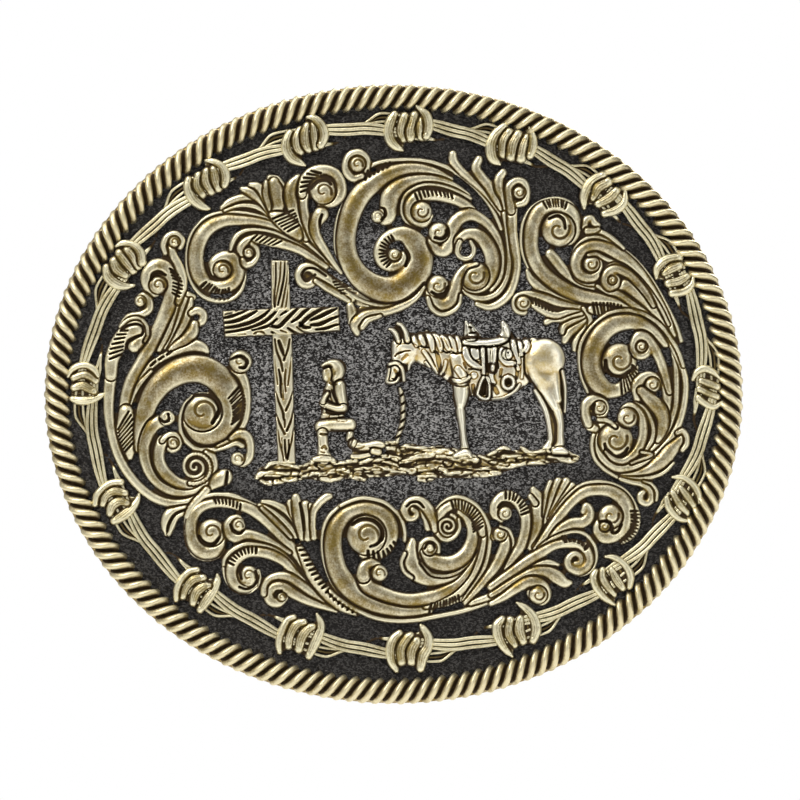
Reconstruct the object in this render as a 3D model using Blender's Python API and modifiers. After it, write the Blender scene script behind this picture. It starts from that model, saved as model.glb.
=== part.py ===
"""Western oval trophy buckle, modelled as worn.

Frame: +Z up, +X to the right of someone looking at the face, +Y towards the
wearer.  The origin is the centre of the base plate's back face, on the belt
line.  Every length below is in metres unless its name says otherwise.

The face is drawn on a 1:1 design sheet whose grid unit is UNIT.  Each ornament
is a set of round-ended tapered strokes on that sheet, written as
"u,v,half_width" control points, and each ornament is one cut-out overlay that
sits on the base plate.  The whole buckle is bowed to fit a waist.
"""
import math
import bpy
import bmesh
import numpy as np
from mathutils import Matrix, Vector

# ---------------------------------------------------------------- dimensions
UNIT = 0.000128            # one grid unit of the design sheet
SHEET_U, SHEET_V = 393.6, 396.0   # sheet position of the buckle's centre
HALF_W = 348.7 * UNIT      # half the overall width, 44.6 mm
HALF_H = 308.7 * UNIT      # half the overall height, 39.5 mm
BOW = 0.0025 / HALF_W ** 2 # the ends stand 2.5 mm behind the centre

PLATE_T = 0.0020           # base plate thickness
ROPE_R = 0.00170           # radius of the rope edge
ROPE_Y = -0.00175          # depth of the rope's centre line
GAP = 0.00015              # solder gap between stacked pieces
SHEET_GAP = 2.0            # gap between neighbouring overlays, in grid units
SCROLL_T = 0.00110         # thickness of the scroll overlays
WIRE_T = 0.00060           # thickness of the wire ring
BARB_T = 0.00080           # thickness of a barb wrapped over the wire
SCENE_T = 0.00110          # cross, ground and rider thickness
HORSE_T = 0.00130
SADDLE_T = 0.00055

WIRE_U, WIRE_V = 397.0, 388.5     # centre of the barbed wire's oval
WIRE_A, WIRE_B = 308.0, 259.5     # its half axes, in grid units
WIRE_HALF = 8.0                   # half the width of the twisted pair

# back hardware
HINGE_X = 0.0190           # pin axis
HINGE_Y = 0.0046
PIN_R = 0.00100
PIN_LEN = 0.0520
EAR_T = 0.0016             # thickness of each ear
EAR_IN = 0.0229            # inner face of the ear, from the centre line
BASE_X0, BASE_X1 = 0.0140, 0.0240
BASE_Y0 = BOW * BASE_X1 ** 2 + GAP
BASE_T = 0.0012
LOOP_IN = 0.0200           # half the clear width inside the bail: 40 mm
LOOP_OUT = 0.0224          # half the outside width of the bail
LOOP_BAR_X = 0.0340        # centre of the bail's outer bar
LOOP_T = 0.0022            # thickness of the bail strap
BAR_W = 0.0026             # width of the outer bar
EYE_R = 0.0020             # rolled eye round the pin
STUD_X = -0.0240
STUD_FOOT_R = 0.0040
STUD_FOOT_T = 0.0012
STUD_NECK_R = 0.0016
STUD_HEAD_R = 0.0029
STUD_LEN = 0.0068          # stud length above its foot

# ------------------------------------------------------------ clean start
for ob in list(bpy.data.objects):
    bpy.data.objects.remove(ob, do_unlink=True)
BUCKLE = bpy.data.collections.new("belt_buckle")
bpy.context.scene.collection.children.link(BUCKLE)
CUTTERS = bpy.data.collections.new("cutters")
bpy.context.scene.collection.children.link(CUTTERS)


def material(name, colour, rough, metal):
    m = bpy.data.materials.new(name)
    m.use_nodes = True
    b = m.node_tree.nodes["Principled BSDF"]
    b.inputs["Base Color"].default_value = (*colour, 1.0)
    b.inputs["Roughness"].default_value = rough
    b.inputs["Metallic"].default_value = metal
    return m


TONES = {
    "ground": ((0.035, 0.032, 0.036), 0.55, 0.6),
    "brass": ((0.62, 0.55, 0.36), 0.34, 1.0),
    "pale": ((0.70, 0.66, 0.50), 0.32, 1.0),
    "gold": ((0.66, 0.52, 0.26), 0.28, 1.0),
    "steel": ((0.52, 0.50, 0.44), 0.38, 1.0),
}


def finish(ob, name, tone):
    ob.name = name
    ob.data.name = name
    ob.data.materials.clear()
    ob.data.materials.append(material(name, *TONES[tone]))
    if ob.name not in BUCKLE.objects:
        BUCKLE.objects.link(ob)
    for c in list(ob.users_collection):
        if c is not BUCKLE:
            c.objects.unlink(ob)
    return ob


# ------------------------------------------------------------ sheet to metres
def plan(u, v):
    return (u - SHEET_U) * UNIT, (SHEET_V - v) * UNIT


# ------------------------------------------------------------ stroke outlines
def parse(text):
    return [tuple(float(n) for n in p.split(",")) for p in text.split()]


def smooth(points, closed=False):
    """Catmull-Rom through the control points, about one grid unit a step."""
    pts = np.array(points, float)
    if len(pts) == 1:
        return pts
    ext = np.vstack([2 * pts[0] - pts[1], pts, 2 * pts[-1] - pts[-2]])
    out = []
    for i in range(1, len(ext) - 2):
        p0, p1, p2, p3 = ext[i - 1], ext[i], ext[i + 1], ext[i + 2]
        n = max(2, int(np.hypot(*(p2 - p1)[:2])))
        t = np.linspace(0, 1, n, endpoint=False)[:, None]
        out.append(0.5 * ((2 * p1) + (p2 - p0) * t
                          + (2 * p0 - 5 * p1 + 4 * p2 - p3) * t ** 2
                          + (3 * p1 - p0 - 3 * p2 + p3) * t ** 3))
    out.append(pts[-1:])
    return np.vstack(out)


def spiral(cu, cv, r, turns, w, sense):
    t = np.linspace(0, 1, int(turns * 24))
    a = t * turns * 2 * math.pi * sense
    rr = 1.5 + (r - 1.5) * t
    return np.stack([cu + rr * np.cos(a), cv + rr * np.sin(a),
                     np.full_like(t, w)], axis=1)


class Sheet:
    """A distance field over the design sheet; positive inside the metal."""

    def __init__(self, u0, v0, u1, v1, step):
        self.u0, self.v0, self.step = u0, v0, step
        self.nu = int((u1 - u0) / step) + 1
        self.nv = int((v1 - v0) / step) + 1
        self.f = np.full((self.nv, self.nu), -9.0)
        self.us = u0 + step * np.arange(self.nu)
        self.vs = v0 + step * np.arange(self.nv)

    def discs(self, samples, grow):
        for u, v, r in samples:
            r = r + grow
            m = r + 4
            i0 = max(0, int((u - m - self.u0) / self.step))
            i1 = min(self.nu, int((u + m - self.u0) / self.step) + 2)
            j0 = max(0, int((v - m - self.v0) / self.step))
            j1 = min(self.nv, int((v + m - self.v0) / self.step) + 2)
            d = r - np.hypot(self.us[None, i0:i1] - u, self.vs[j0:j1, None] - v)
            w = self.f[j0:j1, i0:i1]
            np.maximum(w, d, out=w)

    def loops(self, tolerance, smallest):
        """Closed outlines of the zero level, metal on the left."""
        f = self.f.copy()
        f[np.abs(f) < 1e-6] = 1e-6
        inside = f > 0
        nxt = {}
        code = (inside[:-1, :-1] * 1 + inside[:-1, 1:] * 2
                + inside[1:, 1:] * 4 + inside[1:, :-1] * 8)
        js, is_ = np.nonzero((code > 0) & (code < 15))
        table = {1: [(3, 0)], 2: [(0, 1)], 3: [(3, 1)], 4: [(1, 2)],
                 6: [(0, 2)], 7: [(3, 2)], 8: [(2, 3)], 9: [(2, 0)],
                 11: [(2, 1)], 12: [(1, 3)], 13: [(1, 0)], 14: [(0, 3)]}
        for j, i in zip(js.tolist(), is_.tolist()):
            c = int(code[j, i])
            if c in (5, 10):
                mid = f[j:j + 2, i:i + 2].mean() > 0
                if c == 5:
                    segs = [(3, 2), (1, 0)] if mid else [(3, 0), (1, 2)]
                else:
                    segs = [(0, 3), (2, 1)] if mid else [(0, 1), (2, 3)]
            else:
                segs = table[c]
            keys = [(j, i, 0), (j, i + 1, 1), (j + 1, i, 0), (j, i, 1)]
            for a, b in segs:
                nxt[keys[a]] = keys[b]

        def point(k):
            j, i, kind = k
            if kind == 0:
                a, b = f[j, i], f[j, i + 1]
                return (self.us[i] + self.step * a / (a - b), self.vs[j])
            a, b = f[j, i], f[j + 1, i]
            return (self.us[i], self.vs[j] + self.step * a / (a - b))

        found = []
        while nxt:
            start, k = next(iter(nxt.items()))
            ring = [start]
            del nxt[start]
            while k != start:
                ring.append(k)
                k = nxt.pop(k)
            p = np.array([point(q) for q in ring])
            area = 0.5 * np.sum(p[:, 0] * np.roll(p[:, 1], -1)
                                - np.roll(p[:, 0], -1) * p[:, 1])
            found.append((area, p))
        big = max(abs(a) for a, _ in found)
        sign = [a for a, _ in found if abs(a) == big][0] > 0
        keep = []
        for a, p in found:
            outer = (a > 0) == sign
            if (outer and abs(a) == big) or (not outer and abs(a) > smallest):
                keep.append(thin_out(p, tolerance))
        return keep


def thin_out(p, tol):
    """Drop outline points that lie within tol of a straight run."""
    n = len(p)
    a = int(np.argmin(p[:, 0]))
    p = np.roll(p, -a, axis=0)
    far = int(np.argmax(np.hypot(*(p - p[0]).T)))
    keep = {0, far}
    stack = [(0, far), (far, n)]
    q = np.vstack([p, p[:1]])
    while stack:
        s, e = stack.pop()
        if e - s < 2:
            continue
        d = q[e] - q[s]
        ln = max(1e-9, math.hypot(*d))
        off = np.abs((q[s + 1:e, 0] - q[s, 0]) * d[1]
                     - (q[s + 1:e, 1] - q[s, 1]) * d[0]) / ln
        k = int(np.argmax(off))
        if off[k] > tol:
            m = s + 1 + k
            keep.add(m % n)
            stack += [(s, m), (m, e)]
    return p[sorted(keep)]


# ------------------------------------------------------------ solids
def cut_out(name, loops, y_back, thick, tone):
    """A flat outline (with holes) as a curve, thickened, stood up and bowed."""
    cu = bpy.data.curves.new(name, "CURVE")
    cu.dimensions = "2D"
    cu.fill_mode = "BOTH"
    cu.extrude = thick / 2
    cu.render_resolution_u = 0
    for loop in loops:
        sp = cu.splines.new("POLY")
        sp.points.add(len(loop) - 1)
        sp.use_cyclic_u = True
        for pt, (u, v) in zip(sp.points, loop):
            x, z = plan(u, v)
            pt.co = (x, z, 0.0, 1.0)
    ob = bpy.data.objects.new(name, cu)
    ob.rotation_euler = (math.pi / 2, 0, 0)
    ob.location = (0, y_back - thick / 2, 0)
    CUTTERS.objects.link(ob)
    bpy.context.view_layer.update()
    dg = bpy.context.evaluated_depsgraph_get()
    me = bpy.data.meshes.new_from_object(ob.evaluated_get(dg))
    me.transform(ob.matrix_world)
    bpy.data.objects.remove(ob, do_unlink=True)
    bm = bmesh.new()
    bm.from_mesh(me)
    bmesh.ops.remove_doubles(bm, verts=bm.verts, dist=1e-7)
    bow(bm)
    bm.to_mesh(me)
    bm.free()
    out = bpy.data.objects.new(name, me)
    return finish(out, name, tone)


def bow(bm, pitch=0.013):
    """Split the mesh across the width, then bend it to the waist."""
    xs = [v.co.x for v in bm.verts]
    k = math.ceil(min(xs) / pitch)
    while k * pitch < max(xs):
        g = bm.verts[:] + bm.edges[:] + bm.faces[:]
        bmesh.ops.bisect_plane(bm, geom=g, plane_co=(k * pitch, 0, 0),
                               plane_no=(1, 0, 0), dist=1e-6)
        k += 1
    bmesh.ops.triangulate(bm, faces=bm.faces[:])
    for v in bm.verts:
        v.co.y += BOW * v.co.x ** 2
    bmesh.ops.recalc_face_normals(bm, faces=bm.faces[:])
    if bm.calc_volume(signed=True) < 0:
        bmesh.ops.reverse_faces(bm, faces=bm.faces[:])


def boolean(ob, other, op):
    md = ob.modifiers.new(op, "BOOLEAN")
    md.operation = op
    md.solver = "EXACT"
    md.object = other
    other.hide_render = True
    other.display_type = "WIRE"


def block(name, x0, x1, y0, y1, z0, z1, coll=None):
    me = bpy.data.meshes.new(name)
    bm = bmesh.new()
    bmesh.ops.create_cube(bm, size=1.0)
    for v in bm.verts:
        v.co = Vector(((x0 + x1) / 2 + v.co.x * (x1 - x0),
                       (y0 + y1) / 2 + v.co.y * (y1 - y0),
                       (z0 + z1) / 2 + v.co.z * (z1 - z0)))
    bm.to_mesh(me)
    bm.free()
    ob = bpy.data.objects.new(name, me)
    (coll or CUTTERS).objects.link(ob)
    return ob


def rod(name, r, length, segs=24, axis="Z", centre=(0, 0, 0), coll=None):
    me = bpy.data.meshes.new(name)
    bm = bmesh.new()
    bmesh.ops.create_cone(bm, cap_ends=True, segments=segs, radius1=r,
                          radius2=r, depth=length)
    if axis == "Y":
        bmesh.ops.rotate(bm, verts=bm.verts, matrix=Matrix.Rotation(-math.pi / 2, 3, "X"))
    bmesh.ops.translate(bm, verts=bm.verts, vec=centre)
    bm.to_mesh(me)
    bm.free()
    ob = bpy.data.objects.new(name, me)
    (coll or CUTTERS).objects.link(ob)
    return ob


# ------------------------------------------------------------ the design
# Strokes of each overlay: s a raised stroke, r a rim, b a boss, g a body
# under the strokes, each "u,v,half_width" points; p a coil, "u,v radius
# turns half_width sense".
DESIGN = {
    "scroll_left": [
        ("s", "133,400,3 140,380,3.5 152,366,3.5 166,357,3.5 180,350,5 193,346,6 203,348,5 208,352,2.5"),
        ("s", "128,412,2 133,398,2.5 141,384,2.5 152,372,2"),
        ("s", "187,296,3 184,306,3 179,320,3.5 172,335,3 165,348,2"),
        ("s", "187,294,2.5 191,296,2.5 194,298,3"),
        ("s", "192,300,2 190,310,3.5 185,325,4 178,338,3.5 170,350,2"),
        ("s", "178,303,3 174,318,3 168,335,3 160,350,2.5"),
        ("s", "192,314,3 198,311,4 204,315,4 203,322,4 197,325,3"),
        ("s", "195,325,4 193,333,6 186,340,5 178,345,3.5 171,350,2"),
        ("s", "112,375,6 110,395,5.5 110,415,5 113,435,4.5 119,455,4.5 129,473,4.5 142,488,4.5 158,499,4.5 176,503,4 192,500,3.5 204,492,3 210,484,2.5"),
        ("s", "124,420,4 126,400,5 132,380,5.5 142,362,5.5 152,345,6 160,328,6.5 167,312,7 172,297,7 173,284,7.5 168,271,7.5 157,267,7.5 148,275,6 149,286,6 156,293,5"),
        ("b", "159,286,7"),
        ("s", "172,248,3 174,256,4 179,266,4.5 183,277,4.5 184,287,4 181,297,3.5 179,303,3"),
        ("s", "166,254,2.5 164,246,3 168,238,3.5 176,235,3.5 183,241,3 181,248,3"),
        ("b", "175,243,4.5"),
        ("s", "139,300,3.5 144,296,3 150,301,3.5 150,310,4 142,315,3.5 130,317,3 122,325,2"),
        ("b", "141,302,4.5"),
        ("s", "112,375,6 113,360,7 119,345,8 127,334,8 137,329,9 143,333,6.5 140,342,6 135,347,6"),
        ("r", "121,327,2 130,320,2.2 140,319,2.2 147,325,2.2 149,335,2.2 146,342,2"),
        ("s", "127,412,7 127,430,9 130,445,7 131,457,3"),
        ("s", "140,448,4.5 143,425,7.5 150,402,9.5 163,383,11.5 183,371,13 203,370,13.5 220,380,13 230,397,12 230,415,11 219,430,11 203,433,11 192,422,9"),
        ("b", "203,412,15"),
        ("r", "193,396,1.8 185,405,2 181,418,2.2 182,432,2.5 188,442,3 198,449,3 212,450,3 226,447,3 236,443,3.5 243,446,3"),
        ("s", "236,370,5 243,378,5 247,390,4 248,405,3.5 246,420,3 240,431,2.5 230,440,2 218,446,1.5"),
        ("b", "241,362,9"),
        ("s", "232,438,3 240,434,4.5 248,437,4.5 251,446,4 250,457,4 244,463,4 238,461,5"),
        ("b", "238,459,5.5"),
        ("s", "165,420,6 155,425,6.5 148,436,6 145,450,5.5 148,466,5.5 157,480,5.5 172,490,5 190,491,4.5 205,483,4.5 214,470,4 214,458,3.5 207,453,3"),
        ("b", "168,418,6"),
        ("s", "172,437,5 164,441,5.5 160,452,5.5 161,464,6 168,475,6 180,483,5 193,484,4 203,478,3.5"),
        ("s", "163,441,2.5 167,436,2.5 173,434,2.5 179,438,2.5 180,446,2.5 174,451,2.5 170,449,2.5"),
        ("b", "174,443,4.5"),
        ("p", "196,467 17 2.3 4 1"),
        ("s", "212,487,3 219,480,7 225,477,8"),
        ("s", "190,507,3 178,510,4 170,515,6 167,525,5 168,533,3"),
        ("s", "190,510,2 178,516,3 173,526,3 170,534,2"),
        ("s", "207,490,4 200,498,4 192,507,3.5 188,516,3"),
    ],
    "scroll_upper_left": [
        ("r", "335,270,2 320,256,2.2 305,243,2.2 290,232,2.2 275,223,2.2 258,217,2.2 240,214,2.4 222,214,2.4 208,218,2.4 198,227,2.4 191,238,2.4 188,252,2.4 188,268,2.4 191,280,2.4 197,291,2.4 207,299,2.6 220,302,2.8 232,300,2.6 241,292,2.4 245,281,2.2 245,270,2"),
        ("s", "300,245,2 285,233,2.5 270,226,3.5 255,222.5,4 240,221.5,5 225,222,6 212,227,7 203,236,7.5 197.5,250,7.5 197,265,7.5 201,278,7.5 209,286,6 222,288,6.5 234,283,6.5 239,272,6 235,261,6 224,258,6 215,264,5.5 216,272,5"),
        ("b", "223,271,7"),
        ("r", "322,262,1.5 305,250,2 290,241,2 275,234,2 260,231,2 247,231.5,2.5 238,236,3 233,244,3 231,251,2"),
        ("s", "326,268,2.5 312,259,3.5 298,251,4 284,246,4.5 270,243,4.5 258,240,4.5 247,242,4 241,249,4 243,257,3"),
        ("s", "252,245,2 257,250,2.5 258,257,2.5 253,264,3 246,266,3.5 243,261,2.5"),
        ("b", "249,254,4"),
        ("s", "222,209,2 230,203,3.5 242,199,3.5 255,199,3 264,204,2.5 271,213,2"),
        ("s", "225,212,1.5 240,207,2 255,208,2.5 266,214,2 272,219,1.5"),
        ("s", "242,190,2 250,193,4.5 258,199,4 265,207,3 270,215,2"),
        ("s", "251,186,2.5 258,188,4 264,196,4 268,206,3 271,214,2"),
        ("s", "267,184,3 266,195,3 269,206,3 272,215,2"),
        ("s", "270,179,3 278,181,3 285,190,2.5"),
        ("s", "274,184,5 278,196,7 279,206,6 275,215,3.5"),
        ("s", "298,179,3.5 292,186,5 290,197,6 293,208,6 297,220,5 301,232,4 306,240,3"),
        ("s", "272,216,3 280,220,7 288,226,8 294,232,7 299,238,4"),
        ("s", "304,197,4.5 304,210,4.5 307,224,4.5 313,238,4 322,250,3.5 332,263,2.5 340,273,2"),
        ("s", "302,196,4 304,183,5 312,174,5.5 324,171,5 335,175,5 341,185,5 340,196,6 332,203,6 322,202,6"),
        ("b", "323,193,10"),
        ("s", "321,216,7.5 316,224,6 315,232,5 318,240,4.5 324,250,4 332,262,3 341,274,2"),
        ("s", "352,300,3 340,290,4 330,283,4.5 320,276,4.5 311,269,4.5 303,269,4.5 299,276,4.5 302,284,4.5 309,286,4 315,282,3.5"),
        ("s", "316,282,2.5 325,288,3.5 335,294,3.5 348,302,2.5"),
    ],
    "scroll_upper_right": [
        ("r", "362,183,2 350,195,2.2 342,208,2.2 337,222,2.2 335,238,2.2 336,252,2.2 340,264,2"),
        ("r", "366,170,2.5 376,165,2.5 390,162,2.5 405,161.5,2.5 420,162,2.5 435,165,2.5 450,171,2.5 465,181,2.5 480,195,2.5 492,212,2.5 500,230,2.5"),
        ("s", "450,181,2.5 435,174,4 418,170,5 402,171,6 388,176,7.5 374,184,9 361,196,10 352,212,10 347,230,9.5 346,247,9.5 350,263,10 359,277,11 373,287,12 389,291,13 404,286,14 415,274,14 419,259,13 415,245,11 405,236,8 393,236,6.5 383,243,6 379,254,6 383,264,6 392,268,5 401,264,5 404,256,4"),
        ("b", "394,256,5"),
        ("s", "366,172,3 367,162,3.5 360,155,4 351,156,4 346,164,4 347,174,4.5 353,180,4 361,178,3.5"),
        ("b", "357,166,6.5"),
        ("r", "345,292,2 358,300,2.5 372,305,2.5 388,307,2.5 403,304,2.5 415,296,2.5 424,286,2"),
        ("s", "350,307,4 352,315,5 352,324,4"),
        ("s", "424,288,2 414,300,3 400,308,4 385,313,4 372,314,4 362,318,5 355,326,5 357,334,3"),
        ("s", "380,317,2 368,321,3 362,328,3"),
        ("s", "468,197,2 455,188,3 440,182,3.5 425,180,4 411,182,5 400,187,7 391,196,9 388,207,8.5 388,218,7 384,222,5"),
        ("b", "377,218,5"),
        ("r", "470,200,2 455,192,2 440,187,2 425,186,2 413,190,2 404,198,2.5 401,210,2.5 404,220,2.5 412,226,2.5 422,228,2.5"),
        ("s", "480,222,3 470,211,4.5 458,203,5 445,199,5 430,197,5 418,198,5.5 410,205,5.5 409,215,5 415,222,5 424,224,4.5 429,217,3.5"),
        ("b", "421,213,8"),
        ("s", "452,156,4 453,163,4.5 460,172,4 470,181,3.5 482,192,3 492,204,2.5 502,218,2"),
        ("s", "478,161,4 475,169,4.5 480,178,5 488,188,5 494,199,4 500,210,2.5"),
        ("s", "502,174,4 498,180,4.5 498,190,4.5 502,200,3 504,210,2"),
        ("s", "503,215,2.5 506,230,3 508,248,3 508,265,3 505,280,3 497,293,3 485,299,3 473,298,3 463,290,2.5 460,280,2"),
        ("s", "512,206,4.5 511,220,5 512,235,4.5 514,250,4.5 516,265,4 514,280,4 509,293,4 500,303,4 488,308,3.5 476,305,2.5"),
        ("s", "510,212,4 508,198,4 508,188,4 515,182,3.5 523,184,3.5 526,193,3.5 524,203,3.5 517,206,3"),
        ("b", "518,194,5"),
        ("s", "431,243,4.5 436,251,5 444,252,6 449,243,6.5 451,230,7 458,220,6.5 469,216,6 480,220,5 489,228,4.5 496,239,4 500,252,3.5 501,266,3 498,280,3 490,290,3"),
        ("b", "438,234,8"),
        ("s", "457,250,3.5 458,241,4.5 466,235,5 476,236,6 485,244,7 491,257,7.5 491,271,7 486,283,6 477,290,4.5 467,288,4 461,279,3.5"),
        ("s", "470,243,2 473,250,2.5 471,257,2.5 465,260,2.5 458,257,2.5 456,250,2.5 459,243,2.5"),
        ("b", "474,277,11"),
        ("s", "476,265,2 465,268,3 458,277,4.5 454,290,6 450,301,6 441,306,6 432,301,5 429,293,4"),
        ("b", "437,287,8.5"),
        ("r", "460,296,2 458,306,2.5 450,313,3 440,315,3 431,309,3 427,299,2.5"),
    ],
    "scroll_right": [
        ("r", "590,303,2 565,299,2.2 548,290,2.2 535,279,2.2 526,266,2.2 521,252,2.2 520,238,2.2 522,224,2.2 528,212,2.2 538,204,2.4 550,200.5,2.6 562,201,2.6 572,207,2.4 578,216,2.2"),
        ("s", "526,272,2 530,280,4 538,287,5 548,293,4.5 560,298,3.5 575,302,2.5 590,304,1.5"),
        ("s", "660,335,3 648,322,4 632,311,4.5 615,304,5 597,300,6 578,296,6.5 560,288,7 546,278,7 536,266,7 531,253,7 530,240,7 532,226,7.5 538,213,7 549,207,6 560,208,6 569,214,7 572,225,8 568,236,9 558,240,8"),
        ("b", "557,231,13"),
        ("s", "549,255,5 555,262,5.5 562,271,5 570,279,4 580,285,3 592,289,2"),
        ("s", "573,350,2.5 575,343,4 580,334,4 585,325,3 588,318,2"),
        ("s", "563,342,3 567,334,4.5 574,328,4.5 581,322,3.5 586,317,2"),
        ("s", "561,333,2.5 563,327,3 570,322,3.5 579,318,3 586,314,2"),
        ("s", "545,323,3 552,320,3 560,320,3 570,316,3 580,314,2.5"),
        ("s", "530,304,3 538,309,4 547,314,4 556,316,3.5 566,313,3 578,309.5,2.5"),
        ("s", "582,308,2 568,306,3 555,303,4 545,299,4 535,296,3.5 525,294.5,3 516,297,3 513,304,3 516,311,3.5 523,313,3.5"),
        ("b", "522,304,6"),
        ("s", "582,309,2 587,315,2.5 589,322,2.5 587,331,2.5 582,338,2.5"),
        ("s", "590,310,4 600,311,5 610,311,4 620,311,2.5"),
        ("s", "645,333,2.5 652,345,3.5 659,360,4.5 664,376,5 666,392,5 665,408,4.5 660,423,4 654,436,3.5 645,448,3"),
        ("s", "670,345,2.5 674,360,3 675,377,3 675,392,3 674,407,3 670,420,3 664,432,3 656,443,3 647,452,2.5"),
        ("s", "637,292,2 646,305,3 656,320,3 665,335,3 673,350,3 680,365,3.2 684,380,3.2 684,395,3.2 681,412,3.5 676,427,3.5 668,441,4 658,452,4 647,460,4.5 634,466,4.5 621,468,4.5 609,465,4.5 600,457,4.5 595,446,4.5 595,434,4.5 600,426,3.5 609,423,3"),
        ("b", "614,440,13.5"),
        ("r", "571,270,2 571,258,2.2 576,247,2.4 584,240,2.4 594,238,2.4 605,241,2.4 615,246.5,2.4 625,253,2.4 635,262,2.6 646,275,2.6 656,290,2.6 665,306,2.6 674,324,2.6 680,341,2.6"),
        ("r", "571,270,2 575,279,2.4 584,284,2.4 595,286,2"),
        ("s", "672,335,3 664,315,3.5 652,294,4.5 640,277,5.5 628,264,6 615,254,6 602,248,5.5 590,247,5.5 580,252,5.5 575,262,5.5 576,272,5.5 583,278,5 592,278,4.5 597,271,4.5 596,262,4 589,257,3.5"),
        ("b", "590,265,6.5"),
        ("s", "622,267,1.8 612,263,2.2 603,259,2.4 595,255,2.4 587,256,2"),
        ("s", "666,335,2.5 660,322,3 652,310,4.5 643,300,6 634,291,7 625,286,6 618,287,4"),
        ("s", "596,287,2 606,292,3 617,295,3.5 628,302,3.5 640,311,3.5 650,321,3 660,332,2.5"),
        ("r", "601,275,1.8 605,269,2 612.5,265,2.2 622.5,267.5,2.2 632.5,275,2.2 640,282.5,2.2 650,295,2.2 659,309,2.2 667,325,2"),
        ("s", "652,306,2.5 645,294,3.5 634,281,4 624,273,4.5 614,270,4.5 606,274,4.5 604,282,4.5 608,288,4 614,286,3.5 616,280,3 611,276,2.5"),
        ("b", "611,281,3.5"),
        ("s", "588,233,3 597,232,2.5 606,236,2.5 614,242,2.5 622,249,2"),
        ("s", "583,228,3 585,221,3.5 590,219,3 593,224,3.5 597,226,2.5"),
        ("s", "586,232,3.5 592,232,3 597,230,2"),
        ("r", "586,392,2 580,376,2.4 578,360,2.6 579,346,2.6 585,334,2.6 594,324,2.6 604,316,2.6 612.5,312.5,2.6 622.5,311,2.6 635,312.5,2.6 647,317,2.6 658,325,2.6 668,337,2.6 677,352,2.6 682,366,2.4"),
        ("s", "664,345,3 656,336,4.5 645,328,6 634,323,7 621,323,8 609,327,9 599,336,9.5 592,350,9.5 590,365,9.5 594,379,9.5 603,389,8.5 613,391,7 622,387,6.5 629,378,6 632,368,5"),
        ("b", "618,361,13.5"),
        ("s", "668,392,3 664,377,4 659,362,4.5 653,349,5 646,339,5 638,336,5 633,342,4 632,350,4 636,356,3.5 643,356,3.5 648,350,3 646,344,2.5"),
        ("b", "640,347,4.5"),
        ("s", "636,398,4 635,386,5 640,379,5 648,376,4.5 655,379,3.5 656,386,3.5 652,391,3"),
        ("b", "651,385,6"),
        ("s", "640,391,4.5 646,397,6 653,404,7 659,411,7 662,421,6 660,432,4.5 656,440,3"),
        ("s", "634,404,2 643,409,2.5 649,419,2.5 652,430,2.5 650,441,2.5 645,449,2"),
        ("s", "622,411,4 627,407,4.5 634,409,4 640,416,4 642,427,4.5 641,438,4.5 637,448,4.5 630,456,4 621,461,3.5 612,459,3 605,452,2.5"),
        ("b", "626,418,8"),
        ("r", "640,452,2 650,455,2 630,463,2"),
        ("r", "619,479,2 604,470,2.4 595,461,2.4 591,451,2.4 590.6,440,2.4 594,430,2"),
        ("s", "684,434,3 676,443,5 668,452,7 660,461,7 648,469,5 635,474,3.5 620,476,2"),
        ("s", "676,433,2.5 681,431,3 685,436,3 685,444,3 681,450,2.5"),
        ("r", "672,463,2 664,471,2.5 654,476,2.5 642,478,2.5 630,478,2 619,477,1.5"),
        ("s", "619,479,2 630,482,2.5 640,484,3 648,489,3.5 650,497,4 646,503,3.5 640,501,3.5 639,495,3.5 642,492,2.5"),
        ("r", "642,481,1.5 650,484,2 655,491,2.5 655,500,2"),
        ("s", "584,408,4 584,418,4.5 588,426,4.5 594,429,3.5"),
        ("s", "587,424,4 584,413,4.5 585,404,5 591,400,5 598,401,5 603,406,4.5 602,413,4 597,416,3 592,411,2.5"),
        ("b", "598,408,5.5"),
        ("s", "597,420,2 606,421,2.5 614,427,2"),
    ],
    "scroll_bottom": [
        ("r", "186,530,2 187,518,2.2 190,509,2.2 197,502,2.4 207,496,2.6 219,494,2.6 232,495,2.8 244,500,2.8 257,507,3 269,516,3 280,527,3 290,540,3 300,554,3"),
        ("r", "186,530,2 188,543,2.2 194,553,2.6 204,558,2.8 215,557,2.8 222,551,2.6 225,542,2.2 225,533,2"),
        ("s", "338,607,2 326,594,3.5 315,580,4 305,565,4 295,551,4.5 284,538,5 272,525,5.5 259,514,5.5 246,507,5 232,504,4.5 218,503,4.5 206,505,5 197,511,5.5 192.5,521,5.5 192.5,533,6 196,544,7 204,551,7 214,550,7 220,542,5.5 221,533,4"),
        ("b", "212,532,10.5"),
        ("s", "290,552,2 278,545,3 266,539,4 254,534.5,4.5 244,534,5 236,537,5 230,534,4.5 228,527,4.5 231,520,4 237,517.5,3.5 242,521,3"),
        ("b", "239,525,5.5"),
        ("r", "224,568,2 225,559,2.4 230,552,2.6 237,547,2.8 246,543.5,2.8 257,544,2.8 269,546.5,2.8 280,552,2.8 290,561,2.6 299,573,2.4 306,581,2"),
        ("r", "224,568,2 227,579,2.4 233,587,2.4 241,591,2.6 250,590.5,2.6 257,585,2.4 260,577,2.2 259,570,2"),
        ("s", "304,580,2 294,571,3.5 284,561,4.5 273,555,5 262,552,5 250,552,5 241,556,5 234,563,5.5 232,573,5.5 236,582,6 245,586,6 253,582,5"),
        ("b", "249,575,8"),
        ("s", "336,610,2 322,605,3.5 308,600,4.5 296,594,5 285,587,5.5 275,586,5 269,592,5 271,600,5 279,602,4.5 284,597,4"),
        ("b", "282,596,3.5"),
        ("s", "324,600,2 312,592,4 301,584,4.5 290,577,4.5 279,575,4 270,578,3.5 265,585,3 264,593,3"),
        ("s", "260,505,2 269,509,2.5 280,517,3 290,527,3 296,536,2.5"),
        ("s", "263,501,2 273,503,3 283,508,3.5 290,514,3 295,521,2.5"),
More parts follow.
